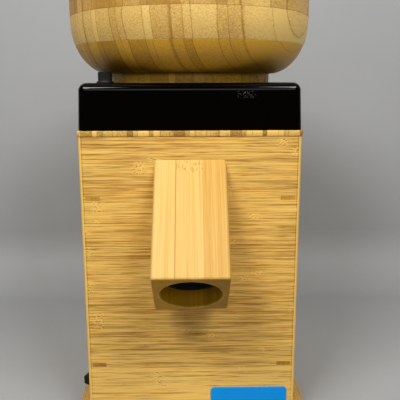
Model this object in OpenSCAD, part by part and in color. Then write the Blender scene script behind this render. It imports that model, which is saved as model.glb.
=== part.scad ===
// Domestic stone grain mill: bamboo cabinet with an outlet spout, moulded cap,
// turned bamboo hopper, and a vertical motor that drives a pair of milling stones.
// Millimetres, x right, y back, z up. Every module is drawn about the hopper axis; the whole
// is then set with the origin on the table under the middle of its outline.

/* [Cabinet] */
// outside width over the side panels
body_w = 176; // [172:1:184]
// outside depth from front panel to back panel
body_d = 176; // [172:1:184]
// table to the top of the deck
body_h = 250; // [244:1:262]
// thickness of the four cabinet panels
panel_t = 12; // [10:0.5:13]
// full thickness of the deck board
deck_t = 12; // [10:0.5:14]
// deck edge that shows above the panels
deck_lip = 4.5; // [3.5:0.5:6]
// how far the deck edge stands out past the panels
deck_over = 0.7; // [0.3:0.1:1.5]
// height of the soft feet
foot_h = 4; // [3:0.5:6]
// how far each foot rail stands out from its side panel
rail_out = 11.2; // [9:0.1:14]
// radius of the cove along each foot rail
rail_cove = 30; // [28:1:34]
// square lip at the bottom of each foot rail
rail_lip = 6; // [4:0.5:8]
// middle of the lower shelf above the table
shelf_z = 52; // [48:1:56]
// middle of the upper shelf above the table
upper_z = 196.2; // [193:0.1:200]
// shelf board thickness
shelf_t = 3.4; // [3:0.1:5]
// visible length of each shelf tenon on the front panel
tenon_w = 11.6; // [9:0.1:13]

/* [Badge and switch] */
// badge plate length
badge_w = 65.4; // [50:0.1:70]
// badge plate height
badge_h = 20; // [14:0.5:22]
// badge plate centre to the right of the middle
badge_x = 49; // [38:0.5:50]
// switch centre above the table
switch_z = 29; // [28:0.5:32]
// switch centre behind the front face
switch_back = 26; // [24:0.5:34]

/* [Cap] */
// height of the moulded cap above the deck
cap_h = 36.8; // [34:0.1:40]
// step from the deck edge in to the foot of the cap
cap_inset = 0.7; // [0.5:0.1:2]
// lean of each cap wall over its height
cap_draft = 1.3; // [0.5:0.1:2.5]
// rounding of the cap edges
cap_r = 6; // [4:0.5:7]
// wall of the moulded cap
cap_wall = 3; // [2:0.1:3.4]
// stop button radius
button_r = 5.6; // [4.5:0.1:6]
// stop button height over the cap
button_h = 8.7; // [7:0.1:10]

/* [Spout] */
// width of the spout block
spout_w = 57; // [54:0.5:64]
// depth of the spout block across its bore
spout_t = 57; // [54:0.5:62]
// angle of the spout bore from the vertical, degrees
spout_a = 44; // [42:0.5:48]
// bore axis from the panel face to the mouth
spout_reach = 73; // [60:1:84]
// radius of the outlet bore
bore_r = 23.1; // [20:0.1:24]
// bore centre at the panel face below the deck top
spout_drop = 63.8; // [62:0.1:70]
// depth of bare wood in the mouth, up to the moulded chute
chute_back = 13.7; // [8:0.1:24]
// wall of the moulded chute
chute_wall = 2; // [1.5:0.1:3]

/* [Hopper] */
// radius of the collar that shows under the hopper
collar_r = 71.7; // [70:0.1:72.4]
// height of the collar between cap and hopper
collar_show = 7.8; // [7:0.1:12]
// largest radius of the hopper
bowl_r = 105.3; // [103:0.1:110]
// hopper height from collar to rim
bowl_h = 71; // [66:0.5:80]
// hopper wall at the rim
bowl_wall = 12; // [10:0.5:14]
// height of the curved belly of the hopper
bowl_belly = 44.5; // [42:0.5:48]
// radius of the hole that feeds the stones
throat_r = 18; // [15:0.5:20]
// lid height over the rim
lid_rise = 7.5; // [6:0.5:10]
// lid knob height
knob_h = 15.5; // [12:0.5:20]

/* [Milling head] */
// radius of both milling stones
stone_r = 42.5; // [38:0.5:43.5]
// thickness of the upper stone
upper_stone_t = 17.4; // [15:0.1:19]
// thickness of the lower stone
lower_stone_t = 19; // [17:0.1:21]
// gap between the stones at the middle setting
rest_gap = 1.25; // [1.2:0.05:1.8]
// rise of the hopper in one full turn
thread_pitch = 3; // [2:0.1:3.4]

/* [Motor] */
// radius of the motor body
motor_r = 48; // [46:0.5:50]
// height of the lamination stack
stack_h = 50; // [40:1:56]
// motor shaft radius
shaft_r = 6; // [5:0.1:7]
// radius of the run capacitor
can_r = 17; // [14:0.5:18]
// height of the run capacitor
can_h = 61.5; // [50:0.5:64]

/* [Hidden] */
$fn = 96;
e = 0.01;
fx = body_w / 2;                 // outer faces
fy = body_d / 2;
dx = fx + deck_over;             // deck edges
dy = fy + deck_over;
ix = fx - panel_t;               // inner faces
iy = fy - panel_t;
z0 = foot_h;                     // underside of the woodwork
zd = body_h;                     // deck top
zl = zd - deck_lip;              // top edge of the panels
zu = zd - deck_t;                // deck underside
zc = zd + cap_h;                 // cap top
zb = zc + collar_show;           // hopper underside
zr = zb + bowl_h;                // hopper rim
run_gap = 0.05;                  // running clearance of the shaft
slip = 0.3;                      // clearance of turned parts that slide or screw
fine_turn = 114.6;               // hopper turn from middle to finest, degrees
travel_dn = thread_pitch * fine_turn / 360;
rail_top = z0 + rail_lip + sqrt(pow(rail_cove, 2) - pow(rail_cove - rail_out, 2));
// milling head, from the cap downwards
col_u = zc - 0.3;                // thrust face under the hopper collar
plate_t = 4.3;
uc_z = col_u - plate_t;          // underside of the upper stone carrier
us_z = uc_z - upper_stone_t;     // face of the upper stone
ls_z = us_z - rest_gap;          // face of the lower stone
ls_b = ls_z - lower_stone_t;
drive_t = 6;
sc_b = ls_b - drive_t;           // underside of the rotating carrier
zf = sc_b - 2;                   // chamber floor
floor_t = 4;
zfu = zf - floor_t;              // chamber underside
led = zd + 4;                    // ledge and flange top
skirt_r = collar_r - 3.7;
neck_r = skirt_r + slip;         // bore of the chamber neck
skirt_i = skirt_r - 3.4;
plate_r = skirt_i - 2 * slip;    // upper stone carrier
pin_c = plate_r - 4;             // guide pins and lift springs
cham_r = pin_c - 3;              // chamber bore
cham_o = cham_r + 3;
flange_r = collar_r + 8.3;
hub_r = 12;
// spout and chute
far = 200;                       // length of cutters that run past the part
zsp = zd - spout_drop;           // bore axis at the front face
mouth_ease = 1.2;                // bevel of the mouth's rim
socket_r = bore_r + 0.5;         // counterbore that holds the chute
chute_fit = 0.15;                // clearance of the chute in wood
chute_r = socket_r - chute_fit;
chute_i = chute_r - chute_wall;
roof_t = 2.5;                    // closed top of the chute, under the chamber
slot_x = 16;                     // half length of the slot between chamber and chute
slot_y = 20;                     // width of that slot
slot_front = -cham_r + 3;
chute_rear = slot_front + slot_y + 10;
function low_z(y) = zsp - chute_r / sin(spout_a) + (y + fy) / tan(spout_a);
// motor
mt = low_z(-motor_r - 1) - 3;    // top of the motor
bell_h = 26;
st_t = mt - bell_h;              // stack top
st_b = st_t - stack_h;
fan_room = 10;
mb = st_b - bell_h - fan_room - 2; // bottom of the motor
bolt_c = motor_r - 2.6;
lug = (motor_r + 4.3) / sqrt(2);  // stand-off position from the axis
rot_r = motor_r - 20.4;
bear_r = shaft_r + 10;
sw_y = -fy + switch_back;        // middle of the switch
groove = 8;                      // depth of the shelf groove in each side panel
tenon_c = ix + groove - tenon_w / 2;  // middle of each shelf tenon
shelf_top = shelf_z + shelf_t / 2;
can_gap = 5;                     // run capacitor to the cabinet walls
can_x = ix - can_gap - can_r;
can_y = iy - can_gap - can_r;
// stop button
bx = -(fx - 20);
by = -(fy - 22);
rb = norm([bx, by]);
peg_a = 95;
// fastener positions
boss_x = ix - 6;
boss_y = fy - 34;
blk = body_w / 11;               // corner block
blk_h = zu - upper_z - shelf_t / 2 - 0.1;  // down to the upper shelf
vent_pitch = body_w * 0.068;     // slots of the bottom board
vent_l = body_d * 0.455;
blk_x = ix - blk / 2;
blk_y = iy - blk / 2;
foot_x = fx - panel_t / 2;
foot_y = iy - 4;
gland_x = -ix + 30;              // cord gland, from the middle and above the table
gland_z = 34;
neck_c = 52;                     // screw circle of the hopper neck
stone_c = 28;                    // screw circle of the upper stone
belly_r = 33.3;                  // run of the hopper's belly, across
// spout tip before the hopper axis, and the axis behind the middle of the whole outline
gland_out = 4;
tip_y = fy + spout_reach * sin(spout_a) + spout_t / 2 * cos(spout_a);
axis_y = (tip_y - max(bowl_r, fy + gland_out)) / 2;
// hopper shape
bowl_i = bowl_r - bowl_wall;
fun0 = col_u + 2;
function fun_z(r) = fun0 + (r - throat_r) * tan(30);
arc_r = bowl_i - 9;

module tube(ro, ri, h) {
  difference() {
    cylinder(r = ro, h = h);
    translate([0, 0, -1]) cylinder(r = ri, h = h + 2);
  }
}

module rrect(w, h, r) {
  square([w - 2 * r, h], center = true);
  square([w, h - 2 * r], center = true);
  for (x = [-1, 1], y = [-1, 1]) translate([x * (w / 2 - r), y * (h / 2 - r)]) circle(r = r);
}

module box(x0, x1, y0, y1, z0, z1) {
  translate([x0, y0, z0]) cube([x1 - x0, y1 - y0, z1 - z0]);
}

module four(x, y) {
  for (i = [-1, 1], j = [-1, 1]) translate([i * x, j * y, 0]) children();
}

module ring_of(n, r, a0 = 0) {
  for (i = [0 : n - 1]) rotate([0, 0, a0 + i * 360 / n]) translate([r, 0, 0]) children();
}

// frame on the spout axis: z runs down and out along the bore
module along_spout() {
  translate([0, -fy, zsp]) rotate([180 - spout_a, 0, 0]) children();
}

// flat head screw, head top at z = 0, pointing down
module flat_screw(r, l, head) {
  cylinder(r = r, h = 0.1, $fn = 32);
  translate([0, 0, -l]) cylinder(r = r, h = l, $fn = 32);
  translate([0, 0, -(head - r)]) cylinder(r1 = r, r2 = head, h = head - r, $fn = 32);
}

module flat_hole(r, l, head) {
  translate([0, 0, -l]) cylinder(r = r, h = l + 0.5, $fn = 32);
  translate([0, 0, -(head - r)]) cylinder(r1 = r, r2 = head, h = head - r, $fn = 32);
  cylinder(r = head, h = 1, $fn = 32);
}

// pan head screw, seat at z = 0, head above, shank below
module pan_screw(r, l, head, hh) {
  difference() {
    cylinder(r = head, h = hh, $fn = 32);
    for (a = [0, 90]) rotate([0, 0, a]) translate([-head * 0.6, -0.5, hh - 1]) cube([head * 1.2, 1, 2]);
  }
  translate([0, 0, -l]) cylinder(r = r, h = l + 0.2, $fn = 32);
}

// ---------------------------------------------------------------- cabinet

module panel_plan() {
  // two rounded corners on the outer face
  r = 2;
  translate([-fx, -fy + r]) square([body_w, panel_t - r]);
  translate([-fx + r, -fy]) square([body_w - 2 * r, r + e]);
  for (s = [-1, 1]) translate([s * (fx - r), -fy + r]) circle(r = r, $fn = 32);
}

module front_panel() {
  color([0.86, 0.70, 0.47]) difference() {
    translate([0, 0, z0]) linear_extrude(zl - z0) panel_plan();
    along_spout() translate([0, 0, -far / 2]) cylinder(r = socket_r, h = far);
    for (s = [-1, 1], z = [shelf_z, upper_z]) translate([s * tenon_c, 0, z])
      box(-tenon_w / 2, tenon_w / 2, -fy - 1, -iy + 1, -shelf_t / 2, shelf_t / 2);
  }
}

module back_panel() {
  color([0.84, 0.68, 0.45]) difference() {
    mirror([0, 1, 0]) translate([0, 0, z0]) linear_extrude(zl - z0) panel_plan();
    // cooling slots with round ends
    for (k = [0 : 6]) translate([0, fy + 1, st_b + k * 9 - 6]) rotate([90, 0, 0])
      linear_extrude(panel_t + 2) rrect(70, 4, 1.9);
    translate([gland_x, fy + 1, gland_z]) rotate([90, 0, 0]) cylinder(r = 7, h = panel_t + 2, $fn = 48);
  }
}

module side_blank() {
  // grooved for both shelves, drilled for the feet; x = outer face at +fx
  difference() {
    box(ix, fx, -iy, iy, z0, zl);
    for (z = [shelf_z, upper_z]) box(ix - 1, ix + groove, -iy - 1, iy + 1, z - shelf_t / 2, z + shelf_t / 2);
    for (s = [-1, 1]) translate([foot_x, s * foot_y, z0 - 1]) cylinder(r = 1.8, h = 8, $fn = 32);
  }
}

module left_panel() {
  color([0.82, 0.65, 0.42]) difference() {
    mirror([1, 0, 0]) side_blank();
    // switch cut-out
    box(-fx - 1, -ix + 1, sw_y - 9.8, sw_y + 9.8, switch_z - 6.6, switch_z + 6.6);
  }
}

module right_panel() {
  color([0.82, 0.65, 0.42]) side_blank();
}

module top_deck() {
  color([0.80, 0.62, 0.40]) difference() {
    union() {
      translate([0, 0, zl]) linear_extrude(deck_lip) rrect(2 * dx, 2 * dy, 2);
      box(-ix, ix, -iy, iy, zu, zl + e);
    }
    translate([0, 0, zu - 1]) cylinder(r = cham_o + 1, h = deck_t + 2);
    four(boss_x, boss_y) translate([0, 0, zu - 1]) cylinder(r = 2.2, h = deck_t + 2, $fn = 32);
    four(blk_x, blk_y) translate([0, 0, zd]) flat_hole(2, deck_t + 1, 4);
    ring_of(4, flange_r - 4, 45) translate([0, 0, zd - 9]) cylinder(r = 1.8, h = 10, $fn = 32);
  }
}

module bottom_board() {
  color([0.78, 0.62, 0.42]) difference() {
    box(-ix, ix, -iy, iy, z0 + 4, z0 + 12);
    for (k = [-3 : 3]) translate([k * vent_pitch, 0, z0 + 3]) linear_extrude(12) rrect(5, vent_l, 2.4);
  }
}

// board between the side panels with two tenons that show on the front
module shelf(z) {
  box(-ix - groove, ix + groove, -iy, iy, z - shelf_t / 2, z + shelf_t / 2);
  for (s = [-1, 1]) translate([s * tenon_c, 0, z])
    box(-tenon_w / 2, tenon_w / 2, -fy, -iy + e, -shelf_t / 2, shelf_t / 2);
}

module shelf_board() {
  color([0.36, 0.22, 0.13]) {
    difference() {
      shelf(shelf_z);
      // cooling air and wiring pass through
      translate([0, 0, shelf_z - 5]) cylinder(r = 34, h = 10);
      translate([-50, -30, shelf_z - 5]) cylinder(r = 6, h = 10, $fn = 48);
    }
    difference() {
      shelf(upper_z);
      // the stand-offs and the chute pass through
      translate([0, 0, upper_z - 5]) cylinder(r = norm([lug, lug]) + 8, h = 10);
      box(-chute_r - 2, chute_r + 2, -fy, 0, upper_z - 5, upper_z + 5);
    }
  }
}

module rail_profile() {
  difference() {
    translate([fx, z0]) square([rail_out, rail_top - 4.2 - z0]);
    translate([fx + rail_cove, rail_top]) circle(r = rail_cove, $fn = 128);
  }
}

module rail_blank() {
  translate([0, fy - 3, 0]) rotate([90, 0, 0]) linear_extrude(body_d - 6) rail_profile();
}

module right_foot_rail() {
  color([0.47, 0.31, 0.18]) rail_blank();
}

module left_foot_rail() {
  color([0.47, 0.31, 0.18]) difference() {
    mirror([1, 0, 0]) rail_blank();
    box(-fx - rail_out - 1, -fx + 1, sw_y - 12.5, sw_y + 12.5, switch_z - 9, rail_top + 5);
  }
}

module rubber_feet() {
  color([0.07, 0.07, 0.07]) four(foot_x, foot_y) difference() {
    rotate_extrude($fn = 64) polygon([[0, 0], [7.2, 0], [8, 0.8], [8.6, foot_h], [0, foot_h]]);
    translate([0, 0, -1]) cylinder(r = 4, h = 2.4, $fn = 32);
    translate([0, 0, -1]) cylinder(r = 2.1, h = foot_h + 2, $fn = 32);
  }
}

module foot_screws() {
  color([0.7, 0.7, 0.72]) four(foot_x, foot_y) {
    translate([0, 0, 0.3]) cylinder(r = 3.6, h = 1.1, $fn = 32);
    translate([0, 0, 0.5]) cylinder(r = 1.8, h = foot_h + 6, $fn = 32);
  }
}

module corner_blocks() {
  color([0.8, 0.64, 0.42]) four(blk_x, blk_y) difference() {
    translate([-blk / 2, -blk / 2, zu - blk_h]) cube([blk, blk, blk_h]);
    translate([0, 0, zu - 13]) cylinder(r = 1.6, h = 14, $fn = 32);
  }
}

module deck_screws() {
  color([0.7, 0.7, 0.72]) four(blk_x, blk_y) translate([0, 0, zd - 0.1]) difference() {
    flat_screw(1.6, deck_t + 10, 3.8);
    for (a = [0, 90]) rotate([0, 0, a]) translate([-2, -0.5, -1]) cube([4, 1, 2]);
  }
}

// ---------------------------------------------------------------- spout

module spout() {
  color([0.90, 0.78, 0.56]) difference() {
    intersection() {
      along_spout() translate([0, 0, -far]) linear_extrude(far + spout_reach) rrect(spout_w, spout_t, 1.7);
      box(-fx, fx, -fy - far, -fy, z0, zd);
    }
    along_spout() translate([0, 0, -far]) cylinder(r = bore_r, h = 2 * far);
    along_spout() translate([0, 0, -far]) cylinder(r = socket_r, h = far + spout_reach - chute_back);
    along_spout() translate([0, 0, spout_reach - mouth_ease])
      cylinder(r1 = bore_r, r2 = bore_r + mouth_ease + 0.1, h = mouth_ease + 0.1);
  }
}

// slot that lets the flour fall from the chamber into the chute
module flour_slot(z0, z1) {
  box(-slot_x, slot_x, slot_front, slot_front + slot_y, z0, z1);
}

module chute() {
  chute_end = spout_reach - chute_back - 2 * chute_fit;
  color([0.13, 0.13, 0.14]) difference() {
    intersection() {
      along_spout() translate([0, 0, -far]) cylinder(r = chute_r, h = far + chute_end);
      box(-fx, fx, -far, chute_rear, z0, zfu);
    }
    intersection() {
      along_spout() translate([0, 0, -far]) cylinder(r = chute_i, h = far + spout_reach);
      box(-fx, fx, -far, chute_rear - chute_wall, z0, zfu - roof_t);
    }
    flour_slot(zfu - 8, zfu + floor_t);
  }
}

module badge_plate() {
  color([0.02, 0.35, 0.80]) translate([badge_x, -fy, 10.2 + badge_h / 2])
    rotate([90, 0, 0]) linear_extrude(1) rrect(badge_w, badge_h, 3.5);
}

// ---------------------------------------------------------------- cap

module cap_solid(inset, top, r) {
  // drafted block with rounded corners and a rounded top edge
  a = dx - cap_inset - inset;
  b = dy - cap_inset - inset;
  k = cap_draft * (top - r) / cap_h;
  hull() {
    four(a - r, b - r) translate([0, 0, zd]) cylinder(r = r, h = 0.4, $fn = 32);
    four(a - k - r, b - k - r) translate([0, 0, zd + top - r]) sphere(r = r, $fn = 32);
  }
}

module cap() {
  color([0.03, 0.03, 0.035]) difference() {
    union() {
      difference() {
        cap_solid(0, cap_h, cap_r);
        translate([0, 0, -e]) cap_solid(cap_wall, cap_h - cap_wall, max(cap_r - cap_wall, 1.5));
      }
      four(boss_x, boss_y) translate([0, 0, zd]) cylinder(r = 4.5, h = cap_h - cap_wall + 0.5, $fn = 48);
    }
    translate([0, 0, zd + cap_h - 10]) cylinder(r = collar_r + 2 * slip, h = 20, $fn = 180);
    translate([bx, by, zd + cap_h - 10]) cylinder(r = button_r + 1, h = 20, $fn = 48);
    four(boss_x, boss_y) translate([0, 0, zd - 1]) cylinder(r = 1.8, h = 16, $fn = 32);
  }
}

module cap_screws() {
  color([0.7, 0.7, 0.72]) four(boss_x, boss_y) translate([0, 0, zu]) mirror([0, 0, 1])
    pan_screw(1.8, deck_t + 13, 3.6, 2.6);
}

module button_bush() {
  color([0.05, 0.05, 0.055]) translate([bx, by, 0]) difference() {
    union() {
      translate([0, 0, zc]) cylinder(r = button_r + 1.3, h = 1.3, $fn = 64);
      translate([0, 0, zc - 16]) cylinder(r = button_r + 1, h = 16 + e, $fn = 64);
    }
    translate([0, 0, zc - 14]) cylinder(r = button_r + slip, h = 20, $fn = 64);
    translate([0, 0, zc - 20]) cylinder(r = 2.3, h = 20, $fn = 48);
  }
}

module stop_button() {
  color([0.06, 0.06, 0.065]) translate([bx, by, 0]) {
    rotate_extrude($fn = 64) polygon([[0, zc - 5], [button_r, zc - 5], [button_r, zc + button_h - 0.8],
      [button_r - 0.8, zc + button_h], [0, zc + button_h]]);
    translate([0, 0, zc - 23]) cylinder(r = 2, h = 20, $fn = 48);
    translate([0, 0, zc - 18]) cylinder(r = 4, h = 1.2, $fn = 48);
  }
}

// helical spring of round wire: a hexagonal section swept along the helix
module coil(r, w, h, n) {
  sides = 5;
  steps = 12 * n;
  points = [for (i = [0 : steps], k = [0 : sides - 1])
    let (a = 360 * n * i / steps, b = 360 * k / sides, q = r + w * cos(b))
      [q * cos(a), q * sin(a), w + (h - 2 * w) * i / steps + w * sin(b)]];
  walls = [for (i = [0 : steps - 1], k = [0 : sides - 1], half = [0, 1])
    let (a = i * sides + k, b = i * sides + (k + 1) % sides)
      half == 0 ? [a, a + sides, b + sides] : [a, b + sides, b]];
  ends = [[for (k = [0 : sides - 1]) k], [for (k = [sides - 1 : -1 : 0]) steps * sides + k]];
  polyhedron(points, concat(walls, ends));
}

module button_spring() {
  color([0.75, 0.75, 0.77]) translate([bx, by, zc - 14]) coil(3.6, 0.45, 3.6, 3);
}

// ---------------------------------------------------------------- milling head

module milling_chamber() {
  color([0.11, 0.11, 0.12]) difference() {
    union() {
      translate([0, 0, zfu]) cylinder(r = cham_o, h = led - zfu);
      translate([0, 0, zd]) cylinder(r = flange_r, h = led - zd);
      translate([0, 0, led - e]) cylinder(r = neck_r + 3.4, h = zc - 6.3 - led, $fn = 144);
      translate([0, 0, zfu - 5]) cylinder(r = hub_r + 3, h = 6, $fn = 64);
    }
    translate([0, 0, zf]) cylinder(r = cham_r, h = 60);
    translate([0, 0, led]) cylinder(r = neck_r, h = 60, $fn = 144);
    translate([0, 0, zfu - 6]) cylinder(r = shaft_r + 1, h = 12, $fn = 64);
    translate([0, 0, zf - 5]) cylinder(r = hub_r, h = 6, $fn = 64);
    flour_slot(zfu - 1, zf + 1);
    ring_of(4, flange_r - 4, 45) translate([0, 0, zd - 1]) cylinder(r = 2.1, h = 8, $fn = 32);
    four(lug, lug) translate([0, 0, zf]) flat_hole(2.1, floor_t + 1, 4.2);
    ring_of(3, pin_c, 30) translate([0, 0, zd]) cylinder(r = 2.5, h = 8, $fn = 48);
  }
}

module chamber_screws() {
  color([0.7, 0.7, 0.72]) ring_of(4, flange_r - 4, 45) translate([0, 0, led]) pan_screw(1.8, 12.5, 3.4, 2.4);
}

module shaft_seal() {
  color([0.85, 0.83, 0.78]) translate([0, 0, zf - 5]) tube(hub_r, shaft_r + run_gap, 4.5);
}

module guide_pins() {
  color([0.72, 0.72, 0.74]) ring_of(3, pin_c, 30) translate([0, 0, zd])
    cylinder(r = 2.5, h = uc_z + 2.8 - zd, $fn = 48);
}

module lift_springs() {
  color([0.75, 0.75, 0.77]) ring_of(3, pin_c + 0.4, 90) translate([0, 0, led])
    coil(2.6, 0.5, uc_z - led - travel_dn - 0.1, 5);
}

module upper_stone_carrier() {
  color([0.62, 0.63, 0.65]) difference() {
    translate([0, 0, uc_z]) cylinder(r = plate_r, h = plate_t, $fn = 144);
    translate([0, 0, uc_z - 1]) cylinder(r = throat_r - 1, h = plate_t + 2);
    ring_of(3, pin_c, 30) translate([0, 0, uc_z - 1]) cylinder(r = 2.5 + slip, h = plate_t + 2, $fn = 48);
    ring_of(3, stone_c, 0) translate([0, 0, col_u]) flat_hole(2.1, plate_t + 1, 4.2);
  }
}

// furrows: n straight grooves set off the centre, cut into a face at z
module furrows(n, z, hand, depth) {
  for (i = [0 : n - 1]) rotate([0, 0, i * 360 / n]) {
    translate([hand * 6, 12, z - depth]) cube([3, stone_r - 17, 2 * depth]);
    translate([hand * 6 + hand * 8, 22, z - depth * 0.7]) cube([2, stone_r - 28, 1.4 * depth]);
  }
}

module upper_stone() {
  color([0.87, 0.85, 0.80]) difference() {
    translate([0, 0, us_z]) rotate_extrude($fn = 128) polygon([[throat_r - 3, 0], [stone_r - 0.8, 0],
      [stone_r, 0.8], [stone_r, upper_stone_t], [throat_r - 3, upper_stone_t]]);
    translate([0, 0, us_z - e]) cylinder(r1 = throat_r + 4, r2 = throat_r - 3, h = 5);
    furrows(8, us_z, -1, 1.2);
    ring_of(3, stone_c, 0) translate([0, 0, uc_z - 9]) cylinder(r = 2, h = 12, $fn = 32);
  }
}

module carrier_screws() {
  color([0.7, 0.7, 0.72]) ring_of(3, stone_c, 0) translate([0, 0, col_u - 0.2]) difference() {
    flat_screw(2, plate_t + 8, 4);
    for (a = [0, 90]) rotate([0, 0, a]) translate([-2, -0.5, -1]) cube([4, 1, 2]);
  }
}

module lower_stone() {
  color([0.86, 0.84, 0.79]) difference() {
    translate([0, 0, ls_b]) rotate_extrude($fn = 128) polygon([[0, 0], [stone_r, 0],
      [stone_r, lower_stone_t - 0.8], [stone_r - 0.8, lower_stone_t], [0, lower_stone_t]]);
    translate([0, 0, ls_b - 1]) cylinder(r = shaft_r - 1, h = lower_stone_t + 2, $fn = 48);
    translate([0, 0, ls_z - 8]) cylinder(r = 13, h = 9, $fn = 64);
    translate([0, 0, ls_z - 3]) cylinder(r1 = 13, r2 = 19, h = 3.1, $fn = 64);
    furrows(8, ls_z, 1, 1.2);
  }
}

module stone_carrier() {
  color([0.55, 0.56, 0.58]) difference() {
    union() {
      translate([0, 0, sc_b]) cylinder(r = stone_r + 1.2, h = drive_t, $fn = 128);
      // sweep paddles
      for (a = [0, 120, 240]) rotate([0, 0, a]) box(stone_r - 4, cham_r - 2.5, -2.5, 2.5, sc_b - 1, sc_b + drive_t);
    }
    translate([0, 0, sc_b - 2]) cylinder(r = shaft_r - 1, h = drive_t + 4, $fn = 48);
  }
}

module stone_nut() {
  color([0.7, 0.7, 0.72]) difference() {
    union() {
      translate([0, 0, ls_z - 8]) cylinder(r = 11, h = 1.2, $fn = 64);
      translate([0, 0, ls_z - 6.8]) cylinder(r = 9, h = 4.4, $fn = 6);
    }
    translate([0, 0, ls_z - 10]) cylinder(r = shaft_r - 1, h = 12, $fn = 48);
  }
}

// ---------------------------------------------------------------- motor

module motor_shaft() {
  color([0.72, 0.72, 0.74]) {
    translate([0, 0, mb - 3]) cylinder(r = shaft_r, h = sc_b - mb + 3, $fn = 64);
    translate([0, 0, sc_b - 1]) cylinder(r = shaft_r - 1, h = ls_z - 1.2 - sc_b + 1, $fn = 48);
  }
}

module rotor_core() {
  color([0.45, 0.45, 0.47]) difference() {
    union() {
      translate([0, 0, st_b]) cylinder(r = rot_r, h = stack_h);
      translate([0, 0, st_b - 5]) tube(rot_r - 1, rot_r - 9, 6);
      translate([0, 0, st_t - 1]) tube(rot_r - 1, rot_r - 9, 6);
    }
    translate([0, 0, st_b - 10]) cylinder(r = shaft_r, h = stack_h + 20, $fn = 64);
    ring_of(6, shaft_r + 7) translate([0, 0, st_b - 1]) cylinder(r = 2.5, h = stack_h + 2, $fn = 32);
  }
}

module cooling_fan() {
  color([0.1, 0.1, 0.11]) difference() {
    union() {
      translate([0, 0, st_b - 20]) cylinder(r = 10, h = 10, $fn = 64);
      for (i = [0 : 8]) rotate([0, 0, i * 40]) translate([8, -0.8, st_b - 20]) cube([motor_r - 18, 1.6, 9]);
      translate([0, 0, st_b - 11.2]) tube(motor_r - 12, 9, 1.2);
    }
    translate([0, 0, st_b - 24]) cylinder(r = shaft_r, h = 20, $fn = 64);
  }
}

module stator() {
  color([0.52, 0.52, 0.54]) difference() {
    translate([0, 0, st_b]) cylinder(r = motor_r, h = stack_h);
    translate([0, 0, st_b - 1]) cylinder(r = rot_r + 0.4, h = stack_h + 2);
    for (i = [0 : 11]) rotate([0, 0, 15 + i * 30]) box(rot_r + 2.4, motor_r - 6, -3, 3, st_b - 1, st_t + 1);
    ring_of(4, bolt_c) translate([0, 0, st_b - 1]) cylinder(r = 1.8, h = stack_h + 2, $fn = 32);
  }
}

module windings() {
  color([0.72, 0.36, 0.16]) {
    for (i = [0 : 11]) rotate([0, 0, 15 + i * 30])
      box(rot_r + 2.8, motor_r - 6.4, -2.7, 2.7, st_b - 6, st_t + 6);
    for (z = [st_b - 10, st_t + 2]) translate([0, 0, z]) rotate_extrude() polygon([
      [rot_r + 2.2, 0], [motor_r - 8, 0], [motor_r - 7, 1], [motor_r - 7, 7], [motor_r - 8, 8], [rot_r + 2.2, 8]]);
  }
}

module end_bell(h) {
  // open side up at z = h, bearing seat at the closed end
  difference() {
    union() {
      cylinder(r = motor_r, h = h);
      cylinder(r = bear_r + 3, h = 12);
    }
    difference() {
      translate([0, 0, 4]) cylinder(r = motor_r - 4.6, h = h);
      cylinder(r = bear_r + 3, h = 12);
    }
    translate([0, 0, 2]) cylinder(r = bear_r, h = h);
    translate([0, 0, -1]) cylinder(r = shaft_r + 1, h = 6);
    ring_of(4, bolt_c) translate([0, 0, -1]) cylinder(r = 1.8, h = h + 2, $fn = 32);
    for (i = [0 : 7]) rotate([0, 0, 22.5 + i * 45]) box(motor_r - 8, motor_r + 2, -6, 6, 9, h - 5);
    for (i = [0 : 7]) rotate([0, 0, 22.5 + i * 45]) box(bear_r + 6, motor_r - 8, -4, 4, -1, 5);
  }
}

module upper_end_bell() {
  color([0.66, 0.67, 0.69]) difference() {
    union() {
      translate([0, 0, mt]) mirror([0, 0, 1]) end_bell(bell_h);
      four(lug, lug) translate([0, 0, mt - 5]) cylinder(r = 6.5, h = 5, $fn = 48);
    }
    four(lug, lug) translate([0, 0, mt - 8]) cylinder(r = 2.1, h = 12, $fn = 32);
  }
}

module lower_end_bell() {
  color([0.66, 0.67, 0.69]) difference() {
    union() {
      translate([0, 0, mb + 2]) end_bell(bell_h + fan_room);
      translate([0, 0, mb]) cylinder(r = bear_r + 3, h = 3, $fn = 64);
    }
    translate([0, 0, mb - 1]) cylinder(r = shaft_r + 1, h = 8, $fn = 64);
    translate([0, 0, mb + 4]) cylinder(r = bear_r, h = 8);
  }
}

module bearing() {
  // races with shields
  rotate_extrude() polygon([[shaft_r + run_gap, 0], [shaft_r + 2.6, 0], [shaft_r + 2.6, 0.5],
    [bear_r - 2.2, 0.5], [bear_r - 2.2, 0], [bear_r, 0], [bear_r, 9], [bear_r - 2.2, 9],
    [bear_r - 2.2, 8.5], [shaft_r + 2.6, 8.5], [shaft_r + 2.6, 9], [shaft_r + run_gap, 9]]);
}

module upper_bearing() {
  color([0.8, 0.8, 0.82]) translate([0, 0, mt - 2 - 9]) bearing();
}

module lower_bearing() {
  color([0.8, 0.8, 0.82]) translate([0, 0, mb + 4]) bearing();
}

module through_bolts() {
  color([0.7, 0.7, 0.72]) ring_of(4, bolt_c) translate([0, 0, mt]) pan_screw(1.8, mt - mb - 4, 3.2, 2.4);
}

module motor_standoffs() {
  color([0.74, 0.74, 0.76]) four(lug, lug) translate([0, 0, mt]) difference() {
    cylinder(r = 5, h = zfu - mt, $fn = 6);
    translate([0, 0, -1]) cylinder(r = 2, h = 11, $fn = 32);
    translate([0, 0, zfu - mt - 10]) cylinder(r = 2, h = 11, $fn = 32);
  }
}

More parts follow.
